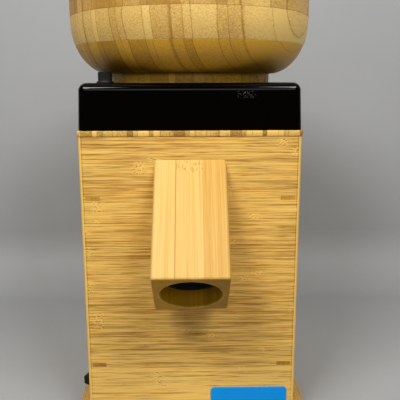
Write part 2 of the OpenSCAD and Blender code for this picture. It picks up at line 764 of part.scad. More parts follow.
module motor_screws() {
  color([0.7, 0.7, 0.72]) {
    four(lug, lug) translate([0, 0, zf - 0.2]) difference() {
      flat_screw(2, floor_t + 8, 4);
      for (a = [0, 90]) rotate([0, 0, a]) translate([-2, -0.5, -1]) cube([4, 1, 2]);
    }
    four(lug, lug) translate([0, 0, mt - 5]) mirror([0, 0, 1]) pan_screw(2, 13, 3.6, 2.6);
  }
}

// ---------------------------------------------------------------- electrics

module run_capacitor() {
  color([0.82, 0.82, 0.84]) translate([can_x, can_y, shelf_top]) {
    rotate_extrude($fn = 72) polygon([[0, 0], [can_r - 1, 0], [can_r, 1], [can_r, can_h - 1.5],
      [can_r - 1, can_h], [0, can_h]]);
    for (s = [-1, 1]) translate([s * can_r * 0.3 - 0.4, -3, can_h - 0.5]) cube([0.8, 6, 8]);
  }
}

module capacitor_clip() {
  // band round the capacitor and a foot on its wall side, clear of the motor
  band = can_r + 1;
  leaf = can_r + 0.4;
  band_z = can_h * 0.4;
  color([0.7, 0.7, 0.72]) translate([can_x, can_y, shelf_top]) {
    translate([0, 0, band_z]) tube(band, can_r, 10);
    difference() {
      box(-leaf - 8.6, -leaf, 0, 12, 0, band_z + 10);
      box(-leaf - 10, -leaf - 1.6, -1, 13, 1.2, band_z + 11);
      translate([-leaf - 5.1, 6, -1]) cylinder(r = 2, h = 4, $fn = 32);
    }
  }
}

module terminal_block() {
  color([0.9, 0.9, 0.87]) translate([-(fx - 40), fy - 44, shelf_top]) difference() {
    translate([-14, -9, 0]) cube([28, 18, 12]);
    for (k = [-1 : 1]) {
      translate([k * 8.5, 0, 8]) cylinder(r = 2.4, h = 12, $fn = 32);
      translate([k * 8.5 - 1.8, -10, 3]) cube([3.6, 20, 3.6]);
    }
    for (k = [-1 : 0]) translate([k * 8.5 + 3.65, -10, 9]) cube([1.2, 20, 6]);
  }
}

module switch_body() {
  color([0.05, 0.05, 0.055]) translate([0, sw_y, switch_z]) {
    difference() {
      union() {
        box(-fx - 2.4, -fx, -11, 11, -7.6, 7.6);
        box(-fx - e, -fx + 27, -9.6, 9.6, -6.4, 6.4);
      }
      box(-fx - 4, -fx + 6, -9, 9, -5.6, 5.6);
    }
    for (k = [-1 : 1]) box(-fx + 26, -fx + 34, k * 6 - 2.4, k * 6 + 2.4, -0.4, 0.4);
  }
}

module power_rocker() {
  color([0.06, 0.06, 0.065]) translate([-fx - 0.2, sw_y, switch_z - 5.3]) rotate([0, 0, 9])
    linear_extrude(10.6) polygon([[2.2, -4], [0.6, -8.4], [-6.6, -8.4], [-6.4, -7.6], [-4.4, 0],
      [-6.4, 7.6], [-6.6, 8.4], [0.6, 8.4], [2.2, 4]]);
}

module cord_gland() {
  color([0.05, 0.05, 0.055]) translate([gland_x, fy, gland_z]) rotate([-90, 0, 0]) difference() {
    union() {
      rotate_extrude($fn = 64) polygon([[0, 0], [11, 0], [11, 2], [8, gland_out], [0, gland_out]]);
      translate([0, 0, -panel_t - 8]) cylinder(r = 7, h = panel_t + 8 + e, $fn = 48);
      translate([0, 0, -panel_t - 5]) cylinder(r = 10.5, h = 5, $fn = 6);
    }
    translate([0, 0, -panel_t - 9]) cylinder(r = 3.6, h = panel_t + 20, $fn = 48);
  }
}

// ---------------------------------------------------------------- hopper

module bowl_profile() {
  cx = bowl_r - belly_r;
  n = 18;
  outer = [for (i = [0 : n]) let (t = -90 + 90 * i / n)
    [cx + belly_r * cos(t), zb + bowl_belly + bowl_belly * sin(t)]];
  rim = [for (i = [1 : 6]) let (t = 90 * i / 6) [bowl_r - 4 + 4 * cos(t), zr - 4 + 4 * sin(t)]];
  inner = [for (i = [0 : 8]) let (t = i / 8,
      p0 = [bowl_i, fun_z(arc_r) + 16], p1 = [bowl_i, fun_z(arc_r) + 5.2], p2 = [arc_r, fun_z(arc_r)])
    (1 - t) * (1 - t) * p0 + 2 * t * (1 - t) * p1 + t * t * p2];
  polygon(concat(outer, [[bowl_r, zr - 4]], rim,
    [[bowl_i + 4, zr], [bowl_i + 4, zr - 5], [bowl_i, zr - 5]], inner,
    [[throat_r + (zb - fun0) / tan(30), zb]]));
}

module bowl_slab(za, zz) {
  intersection() {
    rotate_extrude($fn = 180) bowl_profile();
    translate([0, 0, za]) cylinder(r = bowl_r + 10, h = zz - za);
  }
}

module hopper_layer_lower() {
  color([0.80, 0.63, 0.41]) difference() {
    bowl_slab(zb, zb + bowl_h / 3);
    ring_of(4, neck_c, 45) translate([0, 0, zb - 1]) cylinder(r = 1.8, h = 9, $fn = 32);
    rotate([0, 0, peg_a]) translate([rb, 0, zb]) cylinder(r = 4, h = bowl_h / 3 - 2.5, $fn = 48);
  }
}

module hopper_layer_middle() {
  color([0.83, 0.66, 0.44]) bowl_slab(zb + bowl_h / 3, zb + 2 * bowl_h / 3);
}

module hopper_layer_upper() {
  color([0.80, 0.63, 0.41]) bowl_slab(zb + 2 * bowl_h / 3, zr);
}

module thread_ring() {
  // skirt that screws into the chamber neck and the plate that bears on the stone carrier
  color([0.08, 0.08, 0.085]) difference() {
    rotate_extrude($fn = 180) polygon([[throat_r, col_u], [skirt_i, col_u], [skirt_i, led + 4],
      [skirt_r, led + 4], [skirt_r, fun0 + 1.5], [throat_r + 1.5 / tan(30), fun0 + 1.5], [throat_r, fun0]]);
    ring_of(4, neck_c, 45) translate([0, 0, col_u - 1]) cylinder(r = 2.1, h = 12, $fn = 32);
    ring_of(4, neck_c, 45) translate([0, 0, col_u - 1]) cylinder(r1 = 5.2, r2 = 2.1, h = 3.1, $fn = 32);
  }
}

module hopper_neck() {
  color([0.74, 0.58, 0.36]) difference() {
    rotate_extrude($fn = 180) polygon([[throat_r + 1.5 / tan(30), fun0 + 1.5], [skirt_r, fun0 + 1.5],
      [skirt_r, zc - 4.7], [collar_r, zc - 4.7], [collar_r, zb], [throat_r + (zb - fun0) / tan(30), zb]]);
    ring_of(4, neck_c, 45) translate([0, 0, col_u - 1]) cylinder(r = 2.1, h = 16, $fn = 32);
  }
}

module neck_screws() {
  color([0.7, 0.7, 0.72]) ring_of(4, neck_c, 45) translate([0, 0, col_u + 0.15]) mirror([0, 0, 1]) difference() {
    flat_screw(1.8, zb + 7 - col_u, 3.9);
    for (a = [0, 90]) rotate([0, 0, a]) translate([-2, -0.5, -1]) cube([4, 1, 2]);
  }
}

module stop_peg() {
  color([0.72, 0.72, 0.74]) rotate([0, 0, peg_a]) translate([rb, 0, zc + 5.2])
    cylinder(r = 4, h = zb + bowl_h / 3 - 2.5 - zc - 5.2, $fn = 48);
}

module lid() {
  color([0.84, 0.68, 0.46]) difference() {
    rotate_extrude($fn = 180) polygon(concat([[0, zr - 5], [bowl_i + 3.4, zr - 5]],
      [for (i = [0 : 8]) let (t = 90 * i / 8)
        [bowl_i + 3.4 - 6 + 6 * cos(t), zr + lid_rise - 6 + 5.4 * sin(t)]],
      [[60, zr + lid_rise - 0.2], [24, zr + lid_rise], [0, zr + lid_rise]]));
    translate([0, 0, zr - 6]) cylinder(r = 2.2, h = 30, $fn = 32);
    translate([0, 0, zr - 6]) cylinder(r = 4.4, h = 4, $fn = 32);
  }
}

module lid_knob() {
  color([0.05, 0.05, 0.055]) translate([0, 0, zr + lid_rise]) difference() {
    rotate_extrude($fn = 96) polygon(concat([[0, 0], [10, 0], [9, 1], [8.4, knob_h * 0.35], [9.6, knob_h * 0.5]],
      [for (i = [0 : 8]) let (t = -60 + 150 * i / 8)
        [10 + 5 * cos(t), knob_h * 0.72 + knob_h * 0.28 * sin(t)]], [[0, knob_h]]));
    translate([0, 0, -1]) cylinder(r = 1.8, h = knob_h * 0.6 + 1, $fn = 32);
  }
}

module lid_screw() {
  color([0.7, 0.7, 0.72]) translate([0, 0, zr - 2]) mirror([0, 0, 1])
    pan_screw(1.8, lid_rise + 2 + knob_h * 0.55, 3.8, 2.4);
}

translate([0, axis_y, 0]) {
front_panel();
back_panel();
left_panel();
right_panel();
top_deck();
bottom_board();
shelf_board();
left_foot_rail();
right_foot_rail();
rubber_feet();
foot_screws();
corner_blocks();
deck_screws();
spout();
chute();
badge_plate();
cap();
cap_screws();
stop_button();
button_bush();
button_spring();
milling_chamber();
chamber_screws();
shaft_seal();
guide_pins();
lift_springs();
upper_stone_carrier();
upper_stone();
carrier_screws();
lower_stone();
stone_carrier();
stone_nut();
motor_shaft();
rotor_core();
cooling_fan();
stator();
windings();
upper_end_bell();
lower_end_bell();
upper_bearing();
lower_bearing();
through_bolts();
motor_standoffs();
motor_screws();
run_capacitor();
capacitor_clip();
terminal_block();
switch_body();
power_rocker();
cord_gland();
hopper_layer_lower();
hopper_layer_middle();
hopper_layer_upper();
hopper_neck();
thread_ring();
neck_screws();
stop_peg();
lid();
lid_knob();
lid_screw();
}
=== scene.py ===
"""Looks of a bamboo grain mill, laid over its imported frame. Metres, the frame's own axes."""
import math

import bmesh
import bpy
import numpy as np
from bpy.props import FloatProperty, FloatVectorProperty, PointerProperty
from mathutils import Matrix, Vector


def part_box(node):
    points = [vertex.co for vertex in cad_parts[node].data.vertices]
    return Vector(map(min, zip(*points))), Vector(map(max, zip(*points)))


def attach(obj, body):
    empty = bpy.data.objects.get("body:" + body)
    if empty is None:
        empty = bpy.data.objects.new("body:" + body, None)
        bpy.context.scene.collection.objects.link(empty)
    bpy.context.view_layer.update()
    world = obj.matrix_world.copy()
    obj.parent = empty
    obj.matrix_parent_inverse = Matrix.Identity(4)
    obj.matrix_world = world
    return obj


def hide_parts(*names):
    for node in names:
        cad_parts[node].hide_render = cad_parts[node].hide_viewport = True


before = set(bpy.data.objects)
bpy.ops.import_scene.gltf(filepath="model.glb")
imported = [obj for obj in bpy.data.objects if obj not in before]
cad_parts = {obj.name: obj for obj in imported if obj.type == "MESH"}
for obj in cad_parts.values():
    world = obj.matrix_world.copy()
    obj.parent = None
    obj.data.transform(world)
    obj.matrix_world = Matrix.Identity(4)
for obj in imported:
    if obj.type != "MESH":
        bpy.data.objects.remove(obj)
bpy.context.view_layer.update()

MM = 0.001
QUARTER = math.pi / 2
SHARP = math.radians(32)  # an edge bent by more stays sharp
WELD = 1e-6  # points closer than this become one

bl_info = {
    "name": "Bamboo grain mill",
    "version": (1, 0, 0),
    "blender": (4, 5, 0),
    "location": "View3D > Sidebar > Grain mill",
    "description": "Builds the visible pieces, finishes and studio of a bamboo grain mill",
    "category": "Add Mesh",
}


# ------------------------------------------------------------ places read from the frame

def low(node):
    """Lowest corner of a node's box at rest."""
    return np.array(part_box(node)[0])


def high(node):
    """Highest corner of a node's box at rest."""
    return np.array(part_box(node)[1])


def centre(node):
    """Middle of a node's box at rest."""
    return (low(node) + high(node)) / 2


AXIS_Y = float(centre("hopper_neck")[1])
FRONT_Y = float(low("front_panel")[1])
HALF_W = float(high("front_panel")[0])
DECK_Z = float(high("top_deck")[2])
CAP_Z = float(high("cap")[2])
BOWL_Z = float(low("hopper_layer_lower")[2])
RIM_Z = float(high("hopper_layer_upper")[2])
BOWL_R = float(high("hopper_layer_upper")[0])

THROAT_R = 18 * MM  # the hopper's throat
FUNNEL_Z = CAP_Z + 1.7 * MM  # where the funnel meets the throat
FUNNEL_RISE = math.tan(math.radians(30))  # rise of the funnel for each step outwards
BELLY_OUT, BELLY_UP = 33.3 * MM, 44.5 * MM  # half axes of the hopper's elliptical belly
BOWL_WALL = 12 * MM
DECK_HOLE_R = 61 * MM
STEM_R = 2 * MM  # the stop button's stem


# ------------------------------------------------------------ properties

def size(name, text, value):
    return FloatProperty(name=name, description=text, default=value, min=0.0, unit="LENGTH")


def amount(name, text, value, least=0.0, most=10.0):
    return FloatProperty(name=name, description=text, default=value, min=least, max=most)


def angle(name, text, degrees):
    turn = math.radians(degrees)
    return FloatProperty(name=name, description=text, default=turn, subtype="ANGLE")


def colour(name, text, *tint):
    return FloatVectorProperty(name=name, description=text, default=tint, subtype="COLOR",
                               size=3, min=0, max=1)


class MillSizes(bpy.types.PropertyGroup):
    """Sizes that belong to the visible forms and not to the frame."""
    cap_round: size("Cap rounding", "Radius of the cap's rounded edges", 6 * MM)
    cap_lean: size("Cap lean", "How far each cap wall leans in over its height", 1.3 * MM)
    wood_ease: size("Eased wood edge", "Softened arris of sawn bamboo", 0.7 * MM)
    spout_ease: size("Spout rounding", "Rounding of the spout's edges", 2.3 * MM)
    spout_bore: size("Outlet radius", "Radius of the outlet bore", 23.1 * MM)
    spout_slope: angle("Spout slope", "Angle of the bore from the vertical", 44)
    spout_reach: size("Spout reach", "Bore axis from the panel to the mouth", 73 * MM)
    spout_drop: size("Spout drop", "Bore axis at the panel, below the deck", 63.8 * MM)
    chute_back: size("Bare bore", "Depth of bare wood in the mouth, up to the chute", 13.7 * MM)
    spout_depth: size("Spout depth", "Depth of the block across its bore", 57 * MM)
    glue_line: size("Glue line", "Groove between two layers of the hopper", 0.25 * MM)
    rail_cove: size("Rail cove", "Radius of the cove of the foot rails", 30 * MM)
    rail_lip: size("Rail lip", "Square lip under the cove", 6 * MM)
    badge_round: size("Badge corner", "Corner radius of the badge plate", 3.5 * MM)


class MillColours(bpy.types.PropertyGroup):
    """Colours of the finishes."""
    panel: colour("Panel", "Front panel bamboo", 0.86, 0.53, 0.125)
    panel_dark: colour("Panel streak", "Dark streaks of the panel", 0.33, 0.145, 0.016)
    bowl: colour("Hopper", "Turned bamboo of the hopper", 0.80, 0.54, 0.17)
    # Lowest hopper layer: partly its own caramel tone, partly painted shade, darker and more
    # saturated because its belly faces down.
    bowl_low_shaded: colour("Hopper foot", "Amber bamboo of the lowest layer", 0.70, 0.38, 0.036)
    bowl_dark: colour("Hopper streak", "Dark strips of the hopper", 0.36, 0.17, 0.020)
    spout: colour("Spout", "Pale bamboo of the spout", 0.70, 0.455, 0.140)
    # Mouth face and bore of the spout: partly end grain, partly painted shade, because the face
    # looks down and the bore lies deep.
    end_grain_and_shade: colour("End grain", "Mouth face and bore of the spout", 0.55, 0.28, 0.008)
    spout_dark: colour("Spout streak", "Darker fibres of the spout", 0.52, 0.26, 0.036)
    smoked: colour("Smoked bamboo", "Dark shelf tenons", 0.54, 0.28, 0.036)
    cap: colour("Cap", "Gloss moulding", 0.0003, 0.0003, 0.0003)
    trim: colour("Trim", "Matte black parts", 0.004, 0.004, 0.004)
    badge: colour("Badge", "Plain badge plate", 0.0, 0.28, 0.78)
    floor: colour("Floor", "Studio floor", 0.365, 0.369, 0.368)
    wall: colour("Wall", "Studio backdrop", 0.365, 0.369, 0.368)


class MillStage(bpy.types.PropertyGroup):
    """Camera and light."""
    lens: amount("Lens", "Focal length in millimetres on a 36 mm sensor", 50.446, 10, 200)
    eye_x: FloatProperty(name="Eye right", description="Camera to the right of the axis",
                         default=1.13 * MM, unit="LENGTH")
    eye_back: size("Eye distance", "Camera in front of the hopper axis", 527.45 * MM)
    eye_up: size("Eye height", "Camera above the deck", 36.3 * MM)
    pitch: angle("Pitch", "Camera tilt below the horizon", 11.768)
    yaw: angle("Yaw", "Camera turn to the right", 0.84)
    roll: angle("Roll", "Camera roll", 0.187)
    left: amount("Left light", "Power of the left softbox", 10.2, 0, 500)
    right: amount("Right light", "Power of the right softbox", 8.4, 0, 500)
    fill: amount("Fill", "Power of the low frontal light", 3.2, 0, 500)
    wall: amount("Wall light", "Power of the light on the backdrop", 0.82, 0, 500)
    ambient: amount("Ambient", "Strength of the dim room light", 0.06, 0, 5)


# ------------------------------------------------------------ surfaces from numpy grids

def shown(name, mesh):
    """Shades a mesh smooth between its sharp edges and puts it in the scene."""
    mesh.polygons.foreach_set("use_smooth", np.ones(len(mesh.polygons), bool))
    mesh.set_sharp_from_angle(angle=SHARP)
    piece = bpy.data.objects.new(name, mesh)
    bpy.context.scene.collection.objects.link(piece)
    return piece


def skin(name, rings, loop=False):
    """A surface through a stack of closed rings, an array of (rows, columns, 3). Each ring is
    joined by quads to the next, and the last to the first if loop is set. An open stack gets a
    flat face at each end. Its doubles are merged, and its faces point outwards."""
    rows, columns = rings.shape[:2]
    i = np.arange(rows if loop else rows - 1)[:, None]
    j = np.arange(columns)[None, :]
    above, beside = (i + 1) % rows, (j + 1) % columns
    corners = [i * columns + j, i * columns + beside, above * columns + beside,
               above * columns + j]
    faces = np.stack([c + 0 * (i + j) for c in corners], -1).reshape(-1, 4).tolist()
    if not loop:
        end = np.arange(columns)
        faces += [end[::-1].tolist(), (end + (rows - 1) * columns).tolist()]
    mesh = bpy.data.meshes.new(name)
    mesh.from_pydata(rings.reshape(-1, 3).tolist(), [], faces)
    shell = bmesh.new()
    shell.from_mesh(mesh)
    bmesh.ops.remove_doubles(shell, verts=shell.verts, dist=WELD)
    bmesh.ops.recalc_face_normals(shell, faces=shell.faces)
    shell.to_mesh(mesh)
    shell.free()
    return shown(name, mesh)


def turned(name, profile, steps=224, about=(0.0, AXIS_Y)):
    """A closed solid of revolution: point (r, z) of the profile goes round the axis as
    (x + r cos t, y + r sin t, z)."""
    profile = np.asarray(profile, float)
    t = np.linspace(0, 2 * np.pi, steps, endpoint=False)[None, :]
    r, z = profile[:, 0:1], profile[:, 1:2]
    rings = np.stack([about[0] + r * np.cos(t), about[1] + r * np.sin(t), z + 0 * t], -1)
    return skin(name, rings, loop=True)


def arc(cx, cy, radius, start, end, steps=8):
    """Points (cx + radius cos t, cy + radius sin t), t from start to end in degrees."""
    t = np.radians(np.linspace(start, end, steps + 1))
    return np.stack([cx + radius * np.cos(t), cy + radius * np.sin(t)], -1)


def eased(profile, radius, steps=4):
    """A closed outline with each corner cut back by radius and bridged by a quadratic curve:
    (1 - t)^2 a + 2 t (1 - t) corner + t^2 b."""
    p = np.asarray(profile, float)
    before, after = np.roll(p, 1, 0) - p, np.roll(p, -1, 0) - p
    before_run = np.linalg.norm(before, axis=1)[:, None]
    after_run = np.linalg.norm(after, axis=1)[:, None]
    cut = np.minimum(radius, 0.45 * np.minimum(before_run, after_run))
    a, b = p + before / before_run * cut, p + after / after_run * cut
    t = np.linspace(0, 1, steps + 1)[None, :, None]
    curve = (1 - t) ** 2 * a[:, None] + 2 * t * (1 - t) * p[:, None] + t ** 2 * b[:, None]
    return curve.reshape(-1, 2)


def round_rect(half_x, half_y, radius, side=24, corner=8):
    """Outline of a rectangle with round corners, anticlockwise: four quarter circles, each
    followed by a straight run cut into equal steps, so that it can be matched to a circle."""
    quarters = [arc(sx * (half_x - radius), sy * (half_y - radius), radius,
                    90 * k, 90 * k + 90, corner)
                for k, (sx, sy) in enumerate([(1, 1), (-1, 1), (-1, -1), (1, -1)])]
    t = np.linspace(0, 1, side + 1)[1:-1, None]
    joined = []
    for here, after in zip(quarters, quarters[1:] + quarters[:1]):
        joined += [here, here[-1] + (after[0] - here[-1]) * t]
    return np.concatenate(joined)


def circle_like(outline, radius):
    """Circle with one point in the direction of each outline point."""
    return outline / np.linalg.norm(outline, axis=1)[:, None] * radius


def at(outline, z):
    """Outline points (x, y) about the hopper axis, lifted to height z."""
    return np.stack([outline[:, 0], outline[:, 1] + AXIS_Y, np.full(len(outline), z)], -1)


def soft_copy(name, node, width):
    """A welded copy of a CAD node with its sharp edges rounded by a bevel."""
    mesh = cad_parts[node].data.copy()
    mesh.materials.clear()
    shell = bmesh.new()
    shell.from_mesh(mesh)
    bmesh.ops.remove_doubles(shell, verts=shell.verts, dist=WELD)
    bmesh.ops.dissolve_limit(shell, angle_limit=math.radians(0.4), verts=shell.verts,
                             edges=shell.edges)
    shell.to_mesh(mesh)
    shell.free()
    piece = shown(name, mesh)
    rounding = piece.modifiers.new("Eased edges", "BEVEL")
    rounding.width, rounding.segments = width, 3
    rounding.limit_method, rounding.angle_limit = "ANGLE", math.radians(40)
    rounding.use_clamp_overlap = True
    return piece


def bore_through(piece, x, y, radius, bottom, top):
    """Cuts an upright round hole through a piece with a Boolean modifier, and applies it."""
    cutter = turned("cutter", [[0, bottom], [radius, bottom], [radius, top], [0, top]], 96,
                    (x, y))
    cut = piece.modifiers.new("Hole", "BOOLEAN")
    cut.operation, cut.solver, cut.object = "DIFFERENCE", "EXACT", cutter
    depsgraph = bpy.context.evaluated_depsgraph_get()
    mesh = bpy.data.meshes.new_from_object(piece.evaluated_get(depsgraph), depsgraph=depsgraph)
    piece.modifiers.clear()
    piece.data = mesh
    mesh.set_sharp_from_angle(angle=SHARP)
    bpy.data.objects.remove(cutter)


def dress(piece, body, slot, finish, *nodes):
    """Gives a piece its finish, rides it on its body and lets it stand for CAD nodes."""
    piece.data.materials.clear()
    piece.data.materials.append(FINISH[finish])
    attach(piece, body)
    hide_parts(*nodes)


# ------------------------------------------------------------ shader sums

class Wire:
    """A socket of a shader tree that can stand in sums. Each operator adds one Math node."""

    def __init__(self, paint, socket):
        self.paint, self.socket = paint, socket

    def sum(self, operation, *others, first=None):
        values = ([first] if first is not None else []) + [self] + list(others)
        return self.paint.node("ShaderNodeMath", {"operation": operation},
                               dict(enumerate(values)))

    def __add__(self, other):
        return self.sum("ADD", other)

    __radd__ = __add__

    def __sub__(self, other):
        return self.sum("SUBTRACT", other)

    def __rsub__(self, other):
        return self.sum("SUBTRACT", first=other)

    def __mul__(self, other):
        return self.sum("MULTIPLY", other)

    __rmul__ = __mul__

    def __truediv__(self, other):
        return self.sum("DIVIDE", other)

    def __rtruediv__(self, other):
        return self.sum("DIVIDE", first=other)

    def __pow__(self, other):
        return self.sum("POWER", other)

    def __rpow__(self, other):
        return self.sum("POWER", first=other)

    def floor(self):
        return self.sum("FLOOR")

    def fraction(self):
        return self.sum("FRACT")

    def size(self):
        return self.sum("ABSOLUTE")

    def sine(self):
        return self.sum("SINE")

    def ramp(self, start, end, first=0.0, last=1.0):
        """Smooth step of this value from start to end, onto first to last."""
        return self.paint.node(
            "ShaderNodeMapRange", {"interpolation_type": "SMOOTHSTEP"},
            {"Value": self, "From Min": start, "From Max": end, "To Min": first, "To Max": last})

    def near(self, middle, inner, outer, peak=1.0):
        """Peak where this value is within inner of middle, falling smoothly to 0 at outer."""
        return (self - middle).size().ramp(inner, outer, peak, 0.0)


class Paint:
    """One material, with helpers that add nodes to its tree."""

    def __init__(self, name, **shader):
        self.material = bpy.data.materials.new(name)
        self.material.use_nodes = True
        self.tree = self.material.node_tree
        self.shader = self.tree.nodes["Principled BSDF"]
        for key, value in shader.items():
            self.set(key.replace("_", " "), value)

    def node(self, kind, settings=None, sockets=None, out=0):
        """Adds a node of a kind: its settings first, then the values or links of its sockets."""
        made = self.tree.nodes.new(kind)
        for key, value in (settings or {}).items():
            setattr(made, key, value)
        for key, value in (sockets or {}).items():
            self.plug(made.inputs[key], value)
        return Wire(self, made.outputs[out])

    def plug(self, socket, value):
        """Links a wire to a socket, or sets a number, a vector or a colour there."""
        if isinstance(value, Wire):
            self.tree.links.new(value.socket, socket)
        elif socket.type == "RGBA":
            socket.default_value = (*value, 1.0)
        else:
            socket.default_value = value

    def set(self, name, value):
        self.plug(self.shader.inputs[name], value)

    def place(self, offset=(0, 0, 0), turn=(0, 0, 0)):
        """Object coordinates in millimetres, moved and turned: a Mapping node in Texture mode."""
        raw = self.node("ShaderNodeTexCoord", out="Object")
        return self.node("ShaderNodeMapping", {"vector_type": "TEXTURE"}, {
            "Vector": raw, "Location": offset, "Rotation": turn, "Scale": (MM, MM, MM)})

    def split(self, vector):
        parts = self.node("ShaderNodeSeparateXYZ", None, {0: vector})
        return [Wire(self, parts.socket.node.outputs[k]) for k in range(3)]

    def join(self, x, y, z):
        return self.node("ShaderNodeCombineXYZ", None, {0: x, 1: y, 2: z})

    def noise(self, where, detail=2.0, roughness=0.5, scale=1.0):
        """Noise from 0 to 1 at a place, which is a vector or its three parts."""
        if isinstance(where, tuple):
            where = self.join(*where)
        return self.node("ShaderNodeTexNoise", {"noise_dimensions": "3D", "normalize": True}, {
            "Vector": where, "Scale": scale, "Detail": detail, "Roughness": roughness})

    def chance(self, number, seed):
        """A value from 0 to 1 that is the same wherever number is the same."""
        return self.node("ShaderNodeTexWhiteNoise", {"noise_dimensions": "3D"},
                         {"Vector": self.join(number, 0.0, seed)})

    def mix(self, share, first, second):
        return self.node("ShaderNodeMix", {"data_type": "RGBA", "clamp_factor": True},
                         {0: share, 6: first, 7: second}, out=2)

    def bump(self, height, strength, distance):
        self.set("Normal", self.node("ShaderNodeBump", None, {
            "Height": height, "Strength": strength, "Distance": distance}))


def times(tint, factor):
    """A colour with each channel multiplied."""
    return tuple(c * factor for c in tint)


# ------------------------------------------------------------ finishes

def bamboo(name, light, dark, offset=(0, 0, 0), turn=(0, 0, 0), strip=6.0, uneven=0.35,
           contrast=0.5, streak=1.0, seam=0.5, seam_depth=0.35, knots=0.6, pores=0.35,
           gloss=0.40, seed=0.0, depth=0.34, lit_edge=0.0, low_z=0.0, low_shade=0.0,
           right_x=0.0, right_shade=0.0):
    """Laminated bamboo, from light (shade 0) to dark (shade 1). In the pattern's own axes, in
    millimetres, fibres run along x and strips lie side by side across y.

    Strips: the floor of y / strip, after slow noise and a sine have made them uneven, numbers
    the strips, and each has its own tone. Fibres: long and fine noises and darker dashes, all
    stretched along x, with a drift along each strip. Pores: ends of fibre bundles, about 1 mm
    apart, where noise passes a threshold. Knots: specks and a halo at one place along each
    strip. Seams: a thin dark line where the fraction of y / strip is near 0 or 1. The shade
    shifts by low_shade below the object's own z of low_z, and by right_shade right of its x of
    right_x. Pale edge: where its own x is past the given edge distance on either side, a pale
    strip of painted highlight, where the rounded edge would catch light, with a fine dark joint
    line beside it."""
    paint = Paint(name)
    x, y, z = paint.split(paint.place(offset, turn))
    sway = paint.noise((x * 0.004, y * 0.02 + seed, z * 0.02), 1.0) - 0.5
    across = y / strip + sway * (2.0 * uneven)
    across = across + uneven * (across * 2.399).sine()
    number = across.floor()
    tone = paint.chance(number, seed + 1.0) - 0.5
    edge = (across.fraction() - 0.5).size().ramp(0.5 - seam / strip, 0.5)
    drift = paint.noise((x * 0.009, number * 7.3 + seed, 0.0), 1.0) - 0.5
    long = paint.noise((x * 0.018 + number * 3.1, y * 0.62 + seed, z * 0.62), 4.0, 0.68) - 0.5
    fine = paint.noise((x * 0.022, y * 2.4 + seed, z * 2.4), 3.0, 0.72) - 0.5
    dash = paint.noise((x * 0.030, y * 0.95, z * 0.95 - seed), 2.0, 0.55).ramp(0.56, 0.70)
    pore = paint.noise((x * 0.07, y * 1.9, z * 1.2 + seed), 1.0).ramp(0.50, 0.62)
    knot_x = (paint.chance(number, seed + 7.0) - 0.5) * 260.0
    wobble = (paint.noise((0.0, y * 0.9, seed), 1.0) - 0.5) * 6.0
    halo = (x - knot_x + wobble).size().ramp(1.0, 8.0, 1.0, 0.0)
    speck = paint.noise((x * 0.55, y * 1.1, z * 1.1 + seed), 2.0, 0.6).ramp(0.50, 0.62)
    shade = depth + tone * contrast + drift * contrast
    shade = shade + (long * 1.8 + fine * 1.7 + dash * 0.40) * streak
    shade = shade + (speck - 0.45) * halo * knots
    shade = shade + edge * seam_depth + pore * pores
    own_x, _, own_z = paint.split(paint.place())
    if low_z:
        shade = shade + own_z.ramp(low_z - 0.6, low_z, low_shade, 0.0)
    if right_x:
        shade = shade + own_x.ramp(right_x, right_x + 25.0, 0.0, right_shade)
    # Painted highlight: a pale strip on each side edge, where the rounded edge catches light, with
    # a fine dark joint line beside it.
    if lit_edge:
        side = own_x.size()
        pale, line = side.ramp(lit_edge, lit_edge + 0.5), side.near(lit_edge, 0.1, 0.7)
        shade = shade * (1.0 - pale * 0.75) + line * 0.4
    paint.set("Base Color", paint.mix(shade.ramp(-0.1, 1.1), light, dark))
    paint.set("Roughness", gloss + 0.06 + fine * 0.25 + edge * 0.12)
    paint.set("Specular IOR Level", 0.32)
    paint.bump(fine * 0.6 - edge * 0.8 - pore * 0.4, 0.25, 0.0003)
    return paint.material


